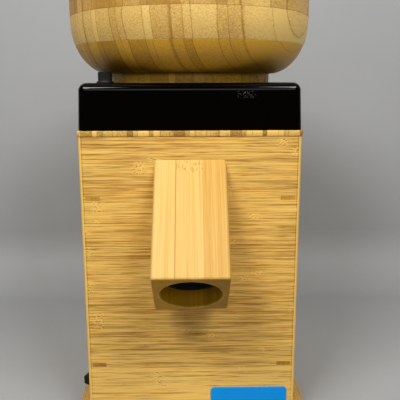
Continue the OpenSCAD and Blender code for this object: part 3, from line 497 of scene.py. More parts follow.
def spout_finish(light, dark, grain, sizes):
    """Pale bamboo of the spout: three glued strips side by side across x, with fibres along the
    bore. run and depth are the distances along and across the bore, worked out from y, z and the
    slope. The mouth face and the bore's wall take a darker colour: partly their end grain, partly
    painted shade of a face that looks down and a bore that light hardly enters. A paler rim at
    the mouth's bevel is a painted highlight, where the bevel catches light."""
    slope, drop = sizes.spout_slope, sizes.spout_drop / MM
    bore = sizes.spout_bore / MM
    mouth = drop * math.cos(slope) + sizes.spout_reach / MM
    left_glue, right_glue = -11.2, 9.4
    paint = Paint("Spout bamboo")
    x, y, z = paint.split(paint.place((0.0, FRONT_Y, DECK_Z)))
    run = z * -math.cos(slope) + y * -math.sin(slope)
    depth = y * -math.cos(slope) + z * math.sin(slope)
    left, right = (x.ramp(glue - 0.1, glue + 0.1) for glue in (left_glue, right_glue))
    line = x.near(left_glue, 0.1, 0.6) + x.near(right_glue, 0.0, 0.4, 0.3)
    shift = (left + right) * 17.0
    long = paint.noise((x * 0.46 + shift, run * 0.006, depth * 0.46), 3.0, 0.6) - 0.5
    fine = paint.noise((x * 1.25 + shift, run * 0.012, depth * 1.25), 3.0, 0.72) - 0.5
    knot_at = 23.0 + (paint.noise((x * 0.7, 0.0, 0.0), 1.0) - 0.5) * 8.0
    knot = run.near(knot_at, 2.0, 7.0) * left * (1.0 - right)
    speck = paint.noise((x * 0.9, run * 0.30, depth * 0.9), 2.0, 0.6).ramp(0.46, 0.60)
    shade = 0.22 + left * 0.06 + right * 0.34 + long * 1.2 + fine * 1.1
    share = (shade + knot * (speck * 0.9 - 0.3)).ramp(-0.1, 1.1)
    radius = (x ** 2.0 + (depth + drop * math.sin(slope)) ** 2.0) ** 0.5
    face = run.ramp(mouth - 0.9, mouth - 0.4)
    # Painted highlight: a paler ring where the mouth's bevel catches light.
    rim = (radius - bore - 1.0).size().ramp(0.2, 0.8, 1.0, 0.0) * face
    # The mouth face and the bore take the end-grain colour, which is partly real end grain and
    # partly painted shade.
    end = (face + radius.ramp(bore + 0.2, bore + 0.7, 1.0, 0.0)).ramp(0.0, 1.0) - rim * 0.45
    base = paint.mix(line * 0.8, paint.mix(share, light, dark), times(dark, 0.7))
    paint.set("Base Color", paint.mix(end, base, paint.mix(share, grain, times(grain, 0.55))))
    paint.set("Roughness", 0.44 + fine * 0.2)
    paint.set("Specular IOR Level", 0.2)
    paint.bump(fine * 0.5 - line * 0.6 - knot * speck * 0.5, 0.2, 0.0004)
    return paint.material


def gloss_moulding(name, tint):
    """Polished black moulding: almost no texture, faint wipe marks in the roughness, dust, and a
    few pale scuffs where stretched noise crosses a high threshold inside one small patch."""
    paint = Paint(name)
    here = paint.place()
    x, y, z = paint.split(here)
    wipe = paint.noise((x * 0.03, y * 0.03, z * 0.12), 3.0)
    dust = paint.noise(here, 2.0, 0.7, scale=0.9).ramp(0.72, 0.80)
    patch = x.near(44.0, 4.0, 8.0), z.near(CAP_Z / MM - 9.0, 1.5, 3.5)
    scuff = paint.noise((x * 0.9, y * 0.2, z * 1.5 + x * 0.5), 3.0, 0.6).ramp(0.60, 0.66)
    mark = scuff * patch[0] * patch[1]
    paint.set("Base Color", paint.mix(mark * 0.8 + dust * 0.02, tint, (0.42, 0.42, 0.40)))
    paint.set("Specular IOR Level", 0.2)
    paint.set("Roughness", 0.07 + wipe.ramp(0.45, 0.8) * 0.05 + dust * 0.15 + mark * 0.5)
    paint.bump(wipe, 0.015, 0.001)
    return paint.material


def matte_moulding(name, tint, grain=1.6, roughness=0.46):
    """Spark-eroded plastic: fine noise bump, and a slow drift in tone."""
    paint = Paint(name)
    here = paint.place()
    spark = paint.noise(here, 2.0, 0.6, scale=grain)
    drift = paint.noise(here, scale=0.05)
    worn = tuple(min(1.0, c * 1.5 + 0.004) for c in tint)
    paint.set("Base Color", paint.mix(drift, tint, worn))
    paint.set("Roughness", roughness + (spark - 0.5) * 0.14)
    paint.set("Specular IOR Level", 0.35)
    paint.bump(spark, 0.16, 0.0002)
    return paint.material


def badge_finish(name, tint):
    """Domed blue badge: even pigment with a slow, faint drift under a clear gloss."""
    paint = Paint(name, Specular_IOR_Level=0.18, Coat_Weight=0.05, Coat_Roughness=0.12)
    here = paint.place()
    drift, peel = paint.noise(here, scale=0.06), paint.noise(here, 1.0, scale=0.7)
    paint.set("Base Color", paint.mix(drift.ramp(0.3, 0.8) * 0.35, tint, times(tint, 0.82)))
    paint.set("Roughness", 0.26 + (peel - 0.5) * 0.06)
    paint.bump(peel, 0.04, 0.0004)
    return paint.material


def metal(name, tint, roughness=0.34, brush=(0.1, 0.1, 3.0)):
    """Worked metal: noise stretched by the three brush factors gives the tool marks."""
    paint = Paint(name, Metallic=1.0)
    here = paint.place()
    marks = paint.noise(tuple(part * factor for part, factor in zip(paint.split(here), brush)),
                        3.0, 0.6)
    stain = paint.noise(here, 3.0, scale=0.08)
    paint.set("Base Color", paint.mix(stain.ramp(0.4, 0.8) * 0.4, tint, times(tint, 0.72)))
    paint.set("Roughness", roughness + (marks - 0.5) * 0.24)
    paint.bump(marks, 0.10, 0.0002)
    return paint.material


def millstone(name, tint):
    """Cast grit: crystals from Voronoi cells, pits where noise passes a threshold."""
    paint = Paint(name)
    here = paint.place()
    grit = paint.node("ShaderNodeTexVoronoi", {"feature": "F1"}, {"Vector": here, "Scale": 1.1},
                      out="Color")
    cell = paint.split(grit)[0]
    pits = paint.noise(here, 3.0, 0.7, scale=1.4)
    shade = paint.mix(cell * 0.7, tint, times(tint, 0.62))
    pitted = paint.mix(pits.ramp(0.58, 0.72) * 0.5, shade, (0.25, 0.23, 0.20))
    paint.set("Base Color", pitted)
    paint.set("Roughness", 0.78 + cell * 0.15)
    paint.bump(cell * 0.5 - pits, 0.5, 0.0006)
    return paint.material


def felt(name, tint):
    """Pressed felt: fuzz from rough noise."""
    paint = Paint(name, Roughness=0.95)
    fuzz = paint.noise(paint.place(), 4.0, 0.8, scale=2.4)
    paint.set("Base Color", paint.mix(fuzz, tint, times(tint, 0.7)))
    paint.bump(fuzz, 0.5, 0.0006)
    return paint.material


def copper(name, tint):
    """Varnished winding wire: fine ridges round the motor, 0.8 mm apart, in a metal of warm
    tone."""
    paint = Paint(name, Metallic=0.85)
    here = paint.place()
    drift = paint.noise(here, scale=0.2)
    paint.set("Base Color", paint.mix(drift, tint, times(tint, 0.55)))
    paint.set("Roughness", 0.36 + drift * 0.12)
    paint.bump((paint.split(here)[2] * 7.85).sine(), 0.5, 0.0003)
    return paint.material


def studio_paint(name, tint, roughness):
    """Backdrop card with a barely visible mottle. It is clear from its back, so that it never
    stands before the mill when the mill is seen from behind."""
    paint = Paint(name)
    mottle = paint.noise(paint.place(), 3.0, scale=0.012)
    paint.set("Base Color", paint.mix(mottle, tint, times(tint, 0.93)))
    paint.set("Roughness", roughness + mottle * 0.1)
    paint.set("Alpha", 1.0 - paint.node("ShaderNodeNewGeometry", out="Backfacing"))
    return paint.material


FINISH = {}


def make_finishes(colours, sizes):
    """Fills FINISH with one material for each finish of the mill.

    The pattern's axes are turned for each board: fibres run across the front, from front to
    back on the sides, deck and rails, along the bore on the spout, and 31 degrees off the
    front-to-back line in the hopper."""
    panel, panel_dark, bowl, bowl_low_shaded, bowl_dark, spout, spout_dark, end_grain_and_shade, smoked = (
        tuple(getattr(colours, key)) for key in (
            "panel", "panel_dark", "bowl", "bowl_low_shaded", "bowl_dark", "spout", "spout_dark",
            "end_grain_and_shade", "smoked"))
    upright, sideways, lengthways = (
        (QUARTER, 0.0, 0.0), (QUARTER, 0.0, QUARTER), (0.0, 0.0, QUARTER))
    sawn = {"strip": 6.2, "contrast": 0.20, "seam": 0.35, "seam_depth": 0.16, "pores": 0.10}
    round_axis = {"offset": (0.0, AXIS_Y, 0.0), "turn": (0.0, 0.0, math.radians(90 - 31))}
    # The panel's pale side edges are a painted highlight of their rounding.
    FINISH["panel"] = bamboo(
        "Panel bamboo", panel, panel_dark, turn=upright, streak=1.3, knots=0.8, seed=3.0,
        lit_edge=HALF_W / MM - 2.6, low_z=49.0, low_shade=-0.30, **sawn)
    FINISH["side"] = bamboo(
        "Side bamboo", panel, panel_dark, turn=sideways, streak=1.2, seed=11.0, **sawn)
    FINISH["deck"] = bamboo(
        "Deck bamboo", panel, times(panel_dark, 0.8), turn=lengthways, strip=5.6, uneven=0.30,
        contrast=0.75, streak=0.6, seam_depth=0.3, pores=0.2, knots=0.3, seed=21.0)
    FINISH["board"] = bamboo(
        "Inner board", times(panel, 0.9), panel_dark, strip=20.0, contrast=0.25, streak=0.9,
        seed=31.0)
    # The lowest layer's light and dark colours are partly its own caramel tone and partly painted
    # shade of its downward-facing belly.
    low_shaded_dark = (bowl_low_shaded[0] * 0.42, bowl_low_shaded[1] * 0.34, bowl_low_shaded[2] * 0.10)
    for key, seed, depth, light, dark, pores in (
            ("lower", 41.0, 0.34, bowl_low_shaded, low_shaded_dark, 0.0),
            ("middle", 57.0, 0.28, bowl, bowl_dark, 0.22),
            ("upper", 63.0, 0.72, bowl, bowl_dark, 0.12)):
        FINISH["bowl_" + key] = bamboo(
            "Hopper bamboo " + key, light, dark, strip=9.5, uneven=0.34, contrast=0.42,
            streak=0.5, seam=0.7, seam_depth=0.45, knots=0.2, pores=pores, seed=seed,
            depth=depth, gloss=0.36, right_x=30.0, right_shade=-0.42, **round_axis)
    # Painted light: the neck's colours are brighter than any other bamboo here, making up for the
    # light that the bowl above keeps off it.
    FINISH["neck"] = bamboo(
        "Neck bamboo", (1.0, 0.62, 0.07), (0.50, 0.24, 0.004), strip=9.0, streak=0.5, seed=71.0,
        **round_axis)
    FINISH["lid"] = bamboo(
        "Lid bamboo", bowl, bowl_dark, strip=20.0, uneven=0.1, contrast=0.3, streak=0.8,
        seed=77.0, **round_axis)
    FINISH["rail"] = bamboo(
        "Rail bamboo", times(panel, 0.80), panel_dark, turn=lengthways, strip=7.0, contrast=0.3,
        streak=0.9, seed=81.0)
    FINISH["smoked"] = bamboo(
        "Smoked bamboo", smoked, times(smoked, 0.5), turn=lengthways, strip=9.0, contrast=0.2,
        streak=0.7, knots=0.0, seed=91.0, depth=0.1, low_z=120.0, low_shade=0.45)
    FINISH.update({
        "spout": spout_finish(spout, spout_dark, end_grain_and_shade, sizes),
        "cap": gloss_moulding("Gloss moulding", tuple(colours.cap)),
        "trim": matte_moulding("Matte trim", tuple(colours.trim)),
        "chamber": matte_moulding("Chamber moulding", (0.022, 0.022, 0.024), 0.9, 0.5),
        "pale": matte_moulding("Pale moulding", (0.62, 0.60, 0.54), 1.2, 0.42),
        "rubber": matte_moulding("Foot rubber", (0.014, 0.014, 0.014), 2.2, 0.72),
        "badge": badge_finish("Blue badge", tuple(colours.badge)),
        "stone": millstone("Millstone", (0.74, 0.70, 0.62)),
        "felt": felt("Shaft felt", (0.62, 0.59, 0.50)),
        "zinc": metal("Zinc plate", (0.60, 0.60, 0.60), 0.34),
        "spring": metal("Spring wire", (0.42, 0.42, 0.43), 0.28),
        "ground": metal("Ground steel", (0.56, 0.56, 0.57), 0.20),
        "cast": metal("Die-cast aluminium", (0.50, 0.50, 0.51), 0.48, (0.5, 0.5, 0.5)),
        "lathe": metal("Turned aluminium", (0.62, 0.62, 0.63), 0.30, (0.3, 0.3, 0.3)),
        "core": metal("Stacked core", (0.20, 0.20, 0.205), 0.52, (0.02, 0.02, 2.0)),
        "can": metal("Drawn can", (0.66, 0.66, 0.67), 0.26, (0.4, 0.4, 0.05)),
        "copper": copper("Winding wire", (0.62, 0.26, 0.10)),
    })


# The CAD nodes that take each finish, whether they are shown or a piece stands for them.
FINISHED_NODES = {
    "panel": "front_panel back_panel", "side": "left_panel right_panel", "deck": "top_deck",
    "board": "bottom_board corner_blocks", "smoked": "shelf_board", "spout": "spout",
    "rail": "left_foot_rail right_foot_rail", "badge": "badge_plate", "cap": "cap",
    "bowl_lower": "hopper_layer_lower", "bowl_middle": "hopper_layer_middle",
    "bowl_upper": "hopper_layer_upper", "neck": "hopper_neck", "lid": "lid",
    "trim": "cooling_fan switch_body power_rocker cord_gland thread_ring stop_button "
            "button_bush lid_knob",
    "chamber": "chute milling_chamber", "pale": "terminal_block", "rubber": "rubber_feet",
    "zinc": "foot_screws deck_screws cap_screws chamber_screws carrier_screws stone_nut "
            "through_bolts motor_standoffs motor_screws capacitor_clip neck_screws lid_screw",
    "spring": "button_spring lift_springs", "felt": "shaft_seal",
    "ground": "guide_pins motor_shaft upper_bearing lower_bearing stop_peg",
    "lathe": "upper_stone_carrier stone_carrier", "stone": "upper_stone lower_stone",
    "core": "rotor_core stator", "copper": "windings", "can": "run_capacitor",
    "cast": "upper_end_bell lower_end_bell",
}


# ------------------------------------------------------------ pieces

class MILL_OT_finishes(bpy.types.Operator):
    """Make the finishes and give each part of the frame its own"""
    bl_idname = "mill.finishes"
    bl_label = "Finishes"

    def execute(self, context):
        make_finishes(context.scene.mill_colours, context.scene.mill_sizes)
        for finish, nodes in FINISHED_NODES.items():
            for node in nodes.split():
                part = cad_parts[node]
                part.data.materials.clear()
                part.data.materials.append(FINISH[finish])
        return {"FINISHED"}


class MILL_OT_hopper(bpy.types.Operator):
    """Turn the three glued layers of the hopper and its neck"""
    bl_idname = "mill.hopper"
    bl_label = "Hopper"

    def execute(self, context):
        outer, inner = self.wall_curves()
        for k, key in enumerate(("lower", "middle", "upper")):
            profile = self.layer(outer, inner, k, context.scene.mill_sizes.glue_line)
            dress(turned("hopper_" + key, profile), "hopper", "bamboo_bowl", "bowl_" + key,
                  "hopper_layer_" + key)
        self.neck()
        return {"FINISHED"}

    def wall_curves(self):
        """Outer wall: a quarter ellipse up to a straight upper part with a rounded rim. Inner
        wall: a 30 degree funnel from the throat, a soft bend, a straight part and the rebate of
        the lid."""
        t = np.radians(np.linspace(-90, 0, 33))
        belly = np.stack([BOWL_R - BELLY_OUT * (1 - np.cos(t)),
                          BOWL_Z + BELLY_UP * (1 + np.sin(t))], -1)
        rim = 4 * MM
        outer = np.concatenate([belly, arc(BOWL_R - rim, RIM_Z - rim, rim, 0, 78, 8)])
        inside = BOWL_R - BOWL_WALL
        bend = inside - 9 * MM
        bend_z = FUNNEL_Z + (bend - THROAT_R) * FUNNEL_RISE
        start = THROAT_R + (BOWL_Z - FUNNEL_Z) / FUNNEL_RISE
        s = np.linspace(0, 1, 13)[:, None]
        curve = ((1 - s) ** 2 * [bend, bend_z] + 2 * s * (1 - s) * [inside, bend_z + 5.2 * MM]
                 + s ** 2 * [inside, bend_z + 16 * MM])
        step, shelf = inside + 4 * MM, RIM_Z - 5 * MM
        rebate = [[inside, shelf], [step, shelf], [step, RIM_Z - 0.6 * MM],
                  [inside + 4.6 * MM, RIM_Z]]
        return outer, np.concatenate([[[start, BOWL_Z]], curve, rebate])

    def layer(self, outer, inner, k, groove):
        """The third of both walls that layer k takes, with a small chamfer at each glue line."""
        height = (RIM_Z - BOWL_Z) / 3
        bottom, top = BOWL_Z + k * height, BOWL_Z + (k + 1) * height
        lowest, highest = k == 0, k == 2
        foot_z, head_z = bottom + groove, top - groove

        def within(curve):
            return curve[(curve[:, 1] > foot_z) & ((curve[:, 1] < head_z) | highest)]

        def radius(curve, z):
            return np.interp(z, curve[:, 1], curve[:, 0])

        foot = [[radius(outer, bottom) - (0 if lowest else groove), bottom],
                [radius(outer, foot_z), foot_z]]
        head = [] if highest else [[radius(outer, head_z), head_z],
                                   [radius(outer, top) - groove, top], [radius(inner, top), top]]
        return np.concatenate([foot, within(outer), np.reshape(head, (-1, 2)),
                               within(inner)[::-1], [[radius(inner, bottom), bottom]]])

    def neck(self):
        """A straight ring round the funnel, with a skirt that hides the top of the thread."""
        neck_r, skirt_r = high("hopper_neck")[0], high("thread_ring")[0]
        foot, plate = low("hopper_neck")[2], CAP_Z + 3.2 * MM
        mouth = [THROAT_R + (z - FUNNEL_Z) / FUNNEL_RISE for z in (BOWL_Z, plate)]
        profile = eased([[neck_r, foot], [neck_r, BOWL_Z], [mouth[0], BOWL_Z],
                         [mouth[1], plate], [skirt_r, plate], [skirt_r, foot]], 0.4 * MM)
        dress(turned("neck_ring", profile), "hopper", "bamboo_neck", "neck", "hopper_neck")


class MILL_OT_lid(bpy.types.Operator):
    """Turn the lid and its knob"""
    bl_idname = "mill.lid"
    bl_label = "Lid and knob"

    def execute(self, context):
        self.disc()
        self.knob()
        return {"FINISHED"}

    def disc(self):
        """A flat underside with an eased edge, a rounded nose and a barely domed top."""
        r, seat, top = high("lid")[0], low("lid")[2], high("lid")[2]
        ease, nose, rise = 0.8 * MM, 6 * MM, 0.5 * MM
        dome = np.stack([np.linspace(r - 7 * MM, 0, 12), np.linspace(top - rise, top, 12)], -1)
        profile = np.concatenate([[[0, seat], [r - ease, seat], [r, seat + ease]],
                                  arc(r - nose, top - nose, nose, 0, 80, 8), dome])
        dress(turned("lid_disc", profile), "lid", "bamboo_panel", "lid", "lid")

    def knob(self):
        """A flat foot, a waist drawn in by an arc, a rounded rim and a shallow crown."""
        r, foot, peak = high("lid_knob")[0], low("lid_knob")[2], high("lid_knob")[2]
        tall, rim = peak - foot, 3.2 * MM
        waist = arc(r * 0.93, foot + tall * 0.28, r * 0.36, 235, 140, 8)
        edge = arc(r - rim, foot + tall * 0.66, rim, -60, 50, 8)
        crown = arc(0, peak - r * 2.6, r * 2.6, 72, 90, 6)
        profile = np.concatenate([[[0, foot], [r * 0.66, foot]], waist, edge, crown])
        dress(turned("knob", profile, 128), "lid", "black_plastic", "trim", "lid_knob")


class MILL_OT_cap(bpy.types.Operator):
    """Mould the gloss cap with its stop button and bush"""
    bl_idname = "mill.cap"
    bl_label = "Cap and stop button"

    def execute(self, context):
        x, y, _ = centre("button_bush")
        bush_r = high("button_bush")[0] - x
        shell = self.cap_shell(context.scene.mill_sizes)
        bore_through(shell, x, y, bush_r - 0.2 * MM, CAP_Z - 6 * MM, CAP_Z + 6 * MM)
        dress(shell, "housing", "cap_plastic", "cap", "cap")
        self.bush(x, y, bush_r)
        self.button(x, y)
        return {"FINISHED"}

    def cap_shell(self, sizes):
        """Rings of a rounded square: up the leaning wall, over a quarter-circle fillet, across
        the top to the round opening, down its edge and back inside the wall."""
        half, hole = high("cap")[0], high("hopper_neck")[0] + 0.6 * MM
        fillet, wall, lip_r = sizes.cap_round, 3 * MM, 0.7 * MM
        under = CAP_Z - wall

        def ring(inset, z, radius):
            lean = sizes.cap_lean * (z - DECK_Z) / (CAP_Z - DECK_Z)
            side = half - inset - lean
            return at(round_rect(side, side, radius, 40, 12), z)

        rings = [ring(0.5 * MM, DECK_Z, fillet), ring(0, DECK_Z + 0.5 * MM, fillet)]
        rings += [ring(0, z, fillet) for z in np.linspace(DECK_Z + 4 * MM, CAP_Z - fillet, 6)]
        for t in np.radians(np.linspace(0, 90, 15))[1:]:
            rings.append(ring(fillet * (1 - math.cos(t)), CAP_Z - fillet + fillet * math.sin(t),
                              max(fillet * math.cos(t), 0.6 * MM)))
        flat = rings[-1][:, :2] - [0, AXIS_Y]
        lip = circle_like(flat, hole + lip_r)
        rings += [at(flat * (1 - s) + lip * s, CAP_Z) for s in (0.35, 0.7)]
        rings.append(at(lip, CAP_Z))
        for t in np.radians(np.linspace(15, 90, 6)):
            rings.append(at(circle_like(flat, hole + lip_r * (1 - math.sin(t))),
                            CAP_Z - lip_r * (1 - math.cos(t))))
        rings += [at(circle_like(flat, hole), under), ring(wall + 3 * MM, under, 3 * MM),
                  ring(wall, under - 3 * MM, 3 * MM), ring(wall, DECK_Z, 3 * MM)]
        return skin("cap_shell", np.array(rings), loop=True)

    def bush(self, x, y, rim):
        """A turned collar on the cap with a rounded lip, and under it a cup that the button's
        stem passes through."""
        foot, top = low("button_bush")[2], high("button_bush")[2]
        tube, bore, hole = rim - 0.3 * MM, rim - 1.0 * MM, STEM_R + 0.3 * MM
        lip = arc(rim - 0.5 * MM, top - 0.5 * MM, 0.5 * MM, 0, 90, 4)
        profile = np.concatenate([
            [[hole, foot], [tube, foot], [tube, CAP_Z], [rim, CAP_Z]], lip,
            [[bore, top], [bore, foot + 2 * MM], [hole, foot + 2 * MM]]])
        dress(turned("bush", profile, 96, (x, y)), "housing", "black_plastic", "trim",
              "button_bush")

    def button(self, x, y):
        """Stem, collar and head in one turned stack, with grip flutes round the head: its radius
        less a little times the square of cos 12 t."""
        bush_top = high("button_bush")[2]
        head, foot, top = high("stop_button")[0] - x, low("stop_button")[2], high("stop_button")[2]
        collar, under, ease = CAP_Z - 18 * MM, CAP_Z - 5 * MM, 0.8 * MM
        collar_top = collar + 1.2 * MM
        turn = np.radians([0, 30, 60, 90])
        z = np.concatenate([
            [foot, foot, collar, collar, collar_top, collar_top, under, under],
            [bush_top - 1.5 * MM, bush_top],
            np.linspace(bush_top + 0.8 * MM, top - 1.2 * MM, 4),
            top - ease + ease * np.sin(turn), [top, top - 0.3 * MM]])
        r = np.concatenate([
            [0.0, STEM_R, STEM_R, 2 * STEM_R, 2 * STEM_R, STEM_R, STEM_R], [head] * 7,
            head - ease + ease * np.cos(turn), [head * 0.5, 0.0]])
        t = np.linspace(0, 2 * np.pi, 240, endpoint=False)
        flute = np.where((z > bush_top + 0.5 * MM) & (z < top - 0.5 * MM), 0.35 * MM, 0.0)
        radius = r[:, None] - flute[:, None] * np.cos(12 * t)[None, :] ** 2
        rings = np.stack([x + radius * np.cos(t), y + radius * np.sin(t), z[:, None] + 0 * t], -1)
        dress(skin("button", rings), "button", "black_plastic", "trim", "stop_button")


class MILL_OT_spout(bpy.types.Operator):
    """Shape the slanted spout block with its bore"""
    bl_idname = "mill.spout"
    bl_label = "Spout"

    def execute(self, context):
        """Rings of a rounded rectangle along the bore: from the wall to the mouth's rounded
        edge, across the mouth face, over the bore's lip, down the bore to the chute's socket and
        back to the wall."""
        sizes = context.scene.mill_sizes
        slope, ease = sizes.spout_slope, sizes.spout_ease
        bore, reach, lip_r = sizes.spout_bore, sizes.spout_reach, 1.2 * MM
        half_w, half_t = high("spout")[0], sizes.spout_depth / 2
        out = np.array([0, -math.sin(slope), -math.cos(slope)])
        face = np.array([0, -math.cos(slope), math.sin(slope)])
        side = np.array([1.0, 0, 0])
        start = np.array([0, FRONT_Y, DECK_Z - sizes.spout_drop])

        def ring(outline, along):
            """Outline carried along the bore; along is a number, or None for the wall plane."""
            flat = start + outline[:, :1] * side + outline[:, 1:] * face
            if along is None:
                return flat + ((FRONT_Y - flat[:, 1]) / out[1])[:, None] * out
            return flat + along * out

        def section(inset):
            return round_rect(half_w - inset, half_t - inset,
                              max(ease * 1.3 - inset, 0.9 * MM), 16, 8)

        rings = [ring(section(0), None)]
        for t in np.radians(np.linspace(0, 90, 9)):
            rings.append(ring(section(ease * (1 - math.cos(t))),
                              reach - ease + ease * math.sin(t)))
        last = section(ease * (1 - math.cos(QUARTER)))
        lip = circle_like(last, bore + lip_r)
        rings += [ring(last * (1 - s) + lip * s, reach) for s in (0.5, 1.0)]
        for t in np.radians([22, 45, 68, 90]):
            rings.append(ring(circle_like(last, bore + lip_r * (1 - math.sin(t))),
                              reach - lip_r * (1 - math.cos(t))))
        shoulder, socket = reach - sizes.chute_back, circle_like(last, bore + 0.5 * MM)
        rings += [ring(circle_like(last, bore), shoulder), ring(socket, shoulder),
                  ring(socket, None)]
        dress(skin("spout_block", np.array(rings), loop=True), "housing", "bamboo_spout",
              "spout", "spout")
        return {"FINISHED"}


class MILL_OT_base(bpy.types.Operator):
    """Shape the deck edge, the coved foot rails and the badge plate"""
    bl_idname = "mill.base"
    bl_label = "Deck, rails and badge"

    def execute(self, context):
        sizes = context.scene.mill_sizes
        self.deck(sizes.wood_ease)
        self.rail(sizes, 1, "right")
        self.rail(sizes, -1, "left")
        self.badge(sizes.badge_round)
        return {"FINISHED"}

    def deck(self, ease):
        """Rings of a rounded square from the panels' top edge, over an eased arris, across to
        the round opening and back underneath to the part that drops between the panels."""
        lip, under = high("front_panel")[2], low("top_deck")[2]
        half, inside = high("top_deck")[0], HALF_W - 12 * MM

        def ring(half_side, z):
            return at(round_rect(half_side, half_side, 2 * MM), z)

        rings = [ring(half - ease, lip), ring(half - 0.3 * ease, lip + 0.3 * ease),
                 ring(half, lip + ease)]
        for t in np.radians(np.linspace(0, 90, 5)):
            rings.append(ring(half - ease * (1 - math.cos(t)), DECK_Z - ease + ease * math.sin(t)))
        hole = circle_like(rings[-1][:, :2] - [0, AXIS_Y], DECK_HOLE_R)
        rings += [at(hole, DECK_Z), at(hole, under), ring(inside, under), ring(inside, lip)]
        dress(skin("deck_board", np.array(rings), loop=True), "housing", "bamboo_deck", "deck",
              "top_deck")

    def rail(self, sizes, sign, key):
        """The cove's profile carried along y. Height and width fall on a circle of the cove's
        radius about (outer face + radius, top); a notch flattens the left rail under the
        switch."""
        node = key + "_foot_rail"
        lo, hi = low(node), high(node)
        foot, out = lo[2], hi[0] - HALF_W if sign > 0 else -lo[0] - HALF_W
        radius, lip, ease, end = sizes.rail_cove, sizes.rail_lip, 0.8 * MM, 0.6 * MM
        top = foot + lip + math.sqrt(radius ** 2 - (radius - out) ** 2)
        z = np.linspace(foot + lip, min(hi[2], high("right_foot_rail")[2]), 25)
        x = radius - np.sqrt(np.maximum(radius ** 2 - (top - z) ** 2, 0))
        cove = np.stack([x, z], -1)
        nose = arc(out - 1 * MM, foot + lip - 1 * MM, 1 * MM, 0, 80, 4)
        profile = np.concatenate([[[0, foot], [out - ease, foot], [out, foot + ease]], nose,
                                  cove[1:], [[0, cove[-1, 1]]]])
        ceiling = low("switch_body")[2] - 1.4 * MM
        stations = [(lo[1], end, False), (lo[1] + end, 0, False)]
        if sign < 0:
            middle, notch = centre("switch_body")[1], 12.5 * MM
            stations += [(middle - notch, 0, False), (middle - notch, 0, True),
                         (middle + notch, 0, True), (middle + notch, 0, False)]
        stations += [(hi[1] - end, 0, False), (hi[1], end, False)]
        rings = []
        for y, inset, notched in stations:
            height = np.minimum(profile[:, 1], ceiling) if notched else profile[:, 1]
            width = np.maximum(profile[:, 0] - inset, 0)
            rings.append(np.stack([sign * (HALF_W + width), np.full(len(width), y), height], -1))
        dress(skin(key + "_rail", np.array(rings)), "housing", "dark_bamboo", "rail", node)

    def badge(self, corner):
        """A rounded rectangle carried out from the panel and drawn in at its front arris; the
        face is very slightly domed."""
        lo, hi = low("badge_plate"), high("badge_plate")
        cx, _, cz = centre("badge_plate")
        half_x, thick, half_z = (hi[0] - lo[0]) / 2, hi[1] - lo[1], (hi[2] - lo[2]) / 2
        rings = []
        for inset, rise in ((0, 0), (0, 0.45), (0.10, 0.7), (0.32, 0.88), (0.62, 0.97), (1, 1)):
            o = round_rect(half_x - inset * MM, half_z - inset * MM, corner - inset * MM, 12, 8)
            rings.append(np.stack([cx + o[:, 0], np.full(len(o), hi[1] - rise * thick),
                                   cz + o[:, 1]], -1))
        dress(skin("badge", np.array(rings)), "housing", "badge_blue", "badge", "badge_plate")


class MILL_OT_switch(bpy.types.Operator):
    """Round the edges of the switch's case and shape its rocker"""
    bl_idname = "mill.switch"
    bl_label = "Rocker switch"

    def execute(self, context):
        dress(soft_copy("switch_case", "switch_body", 0.5 * MM), "housing", "black_plastic",
              "trim", "switch_body")
        dress(self.rocker(), "rocker", "black_plastic", "trim", "power_rocker")
        return {"FINISHED"}

    def rocker(self):
        """A dished outline in plan, stacked upwards: how far its front end stands out rises over
        a slope at the foot and falls over one at the head. The whole is turned 9 degrees on its
        pivot."""
        _, pivot_y, middle_z = centre("switch_body")
        half, turn = high("power_rocker")[2] - middle_z, math.radians(9)
        spin = np.array([[math.cos(turn), math.sin(turn)], [-math.sin(turn), math.cos(turn)]])
        rings = []
        for rise, out in ((-1, 5.0), (-0.94, 5.4), (-0.66, 8.2), (-0.58, 8.6),
                          (0.58, 8.6), (0.66, 8.2), (0.94, 5.4), (1, 5.0)):
            back = 2.0 + out * 0.3
            plan = np.array([[2.2, -4], [0.6, -8.4], [-out, -8.4], [0.2 - out, -7.4],
                             [-0.75 * back, 0], [0.2 - back, 7.6], [-back, 8.4], [0.6, 8.4],
                             [2.2, 4]]) * MM
            flat = eased(plan, 0.4 * MM) @ spin + [-HALF_W - 0.2 * MM, pivot_y]
            rings.append(np.column_stack([flat, np.full(len(flat), middle_z + rise * half)]))
        return skin("rocker_key", np.array(rings))


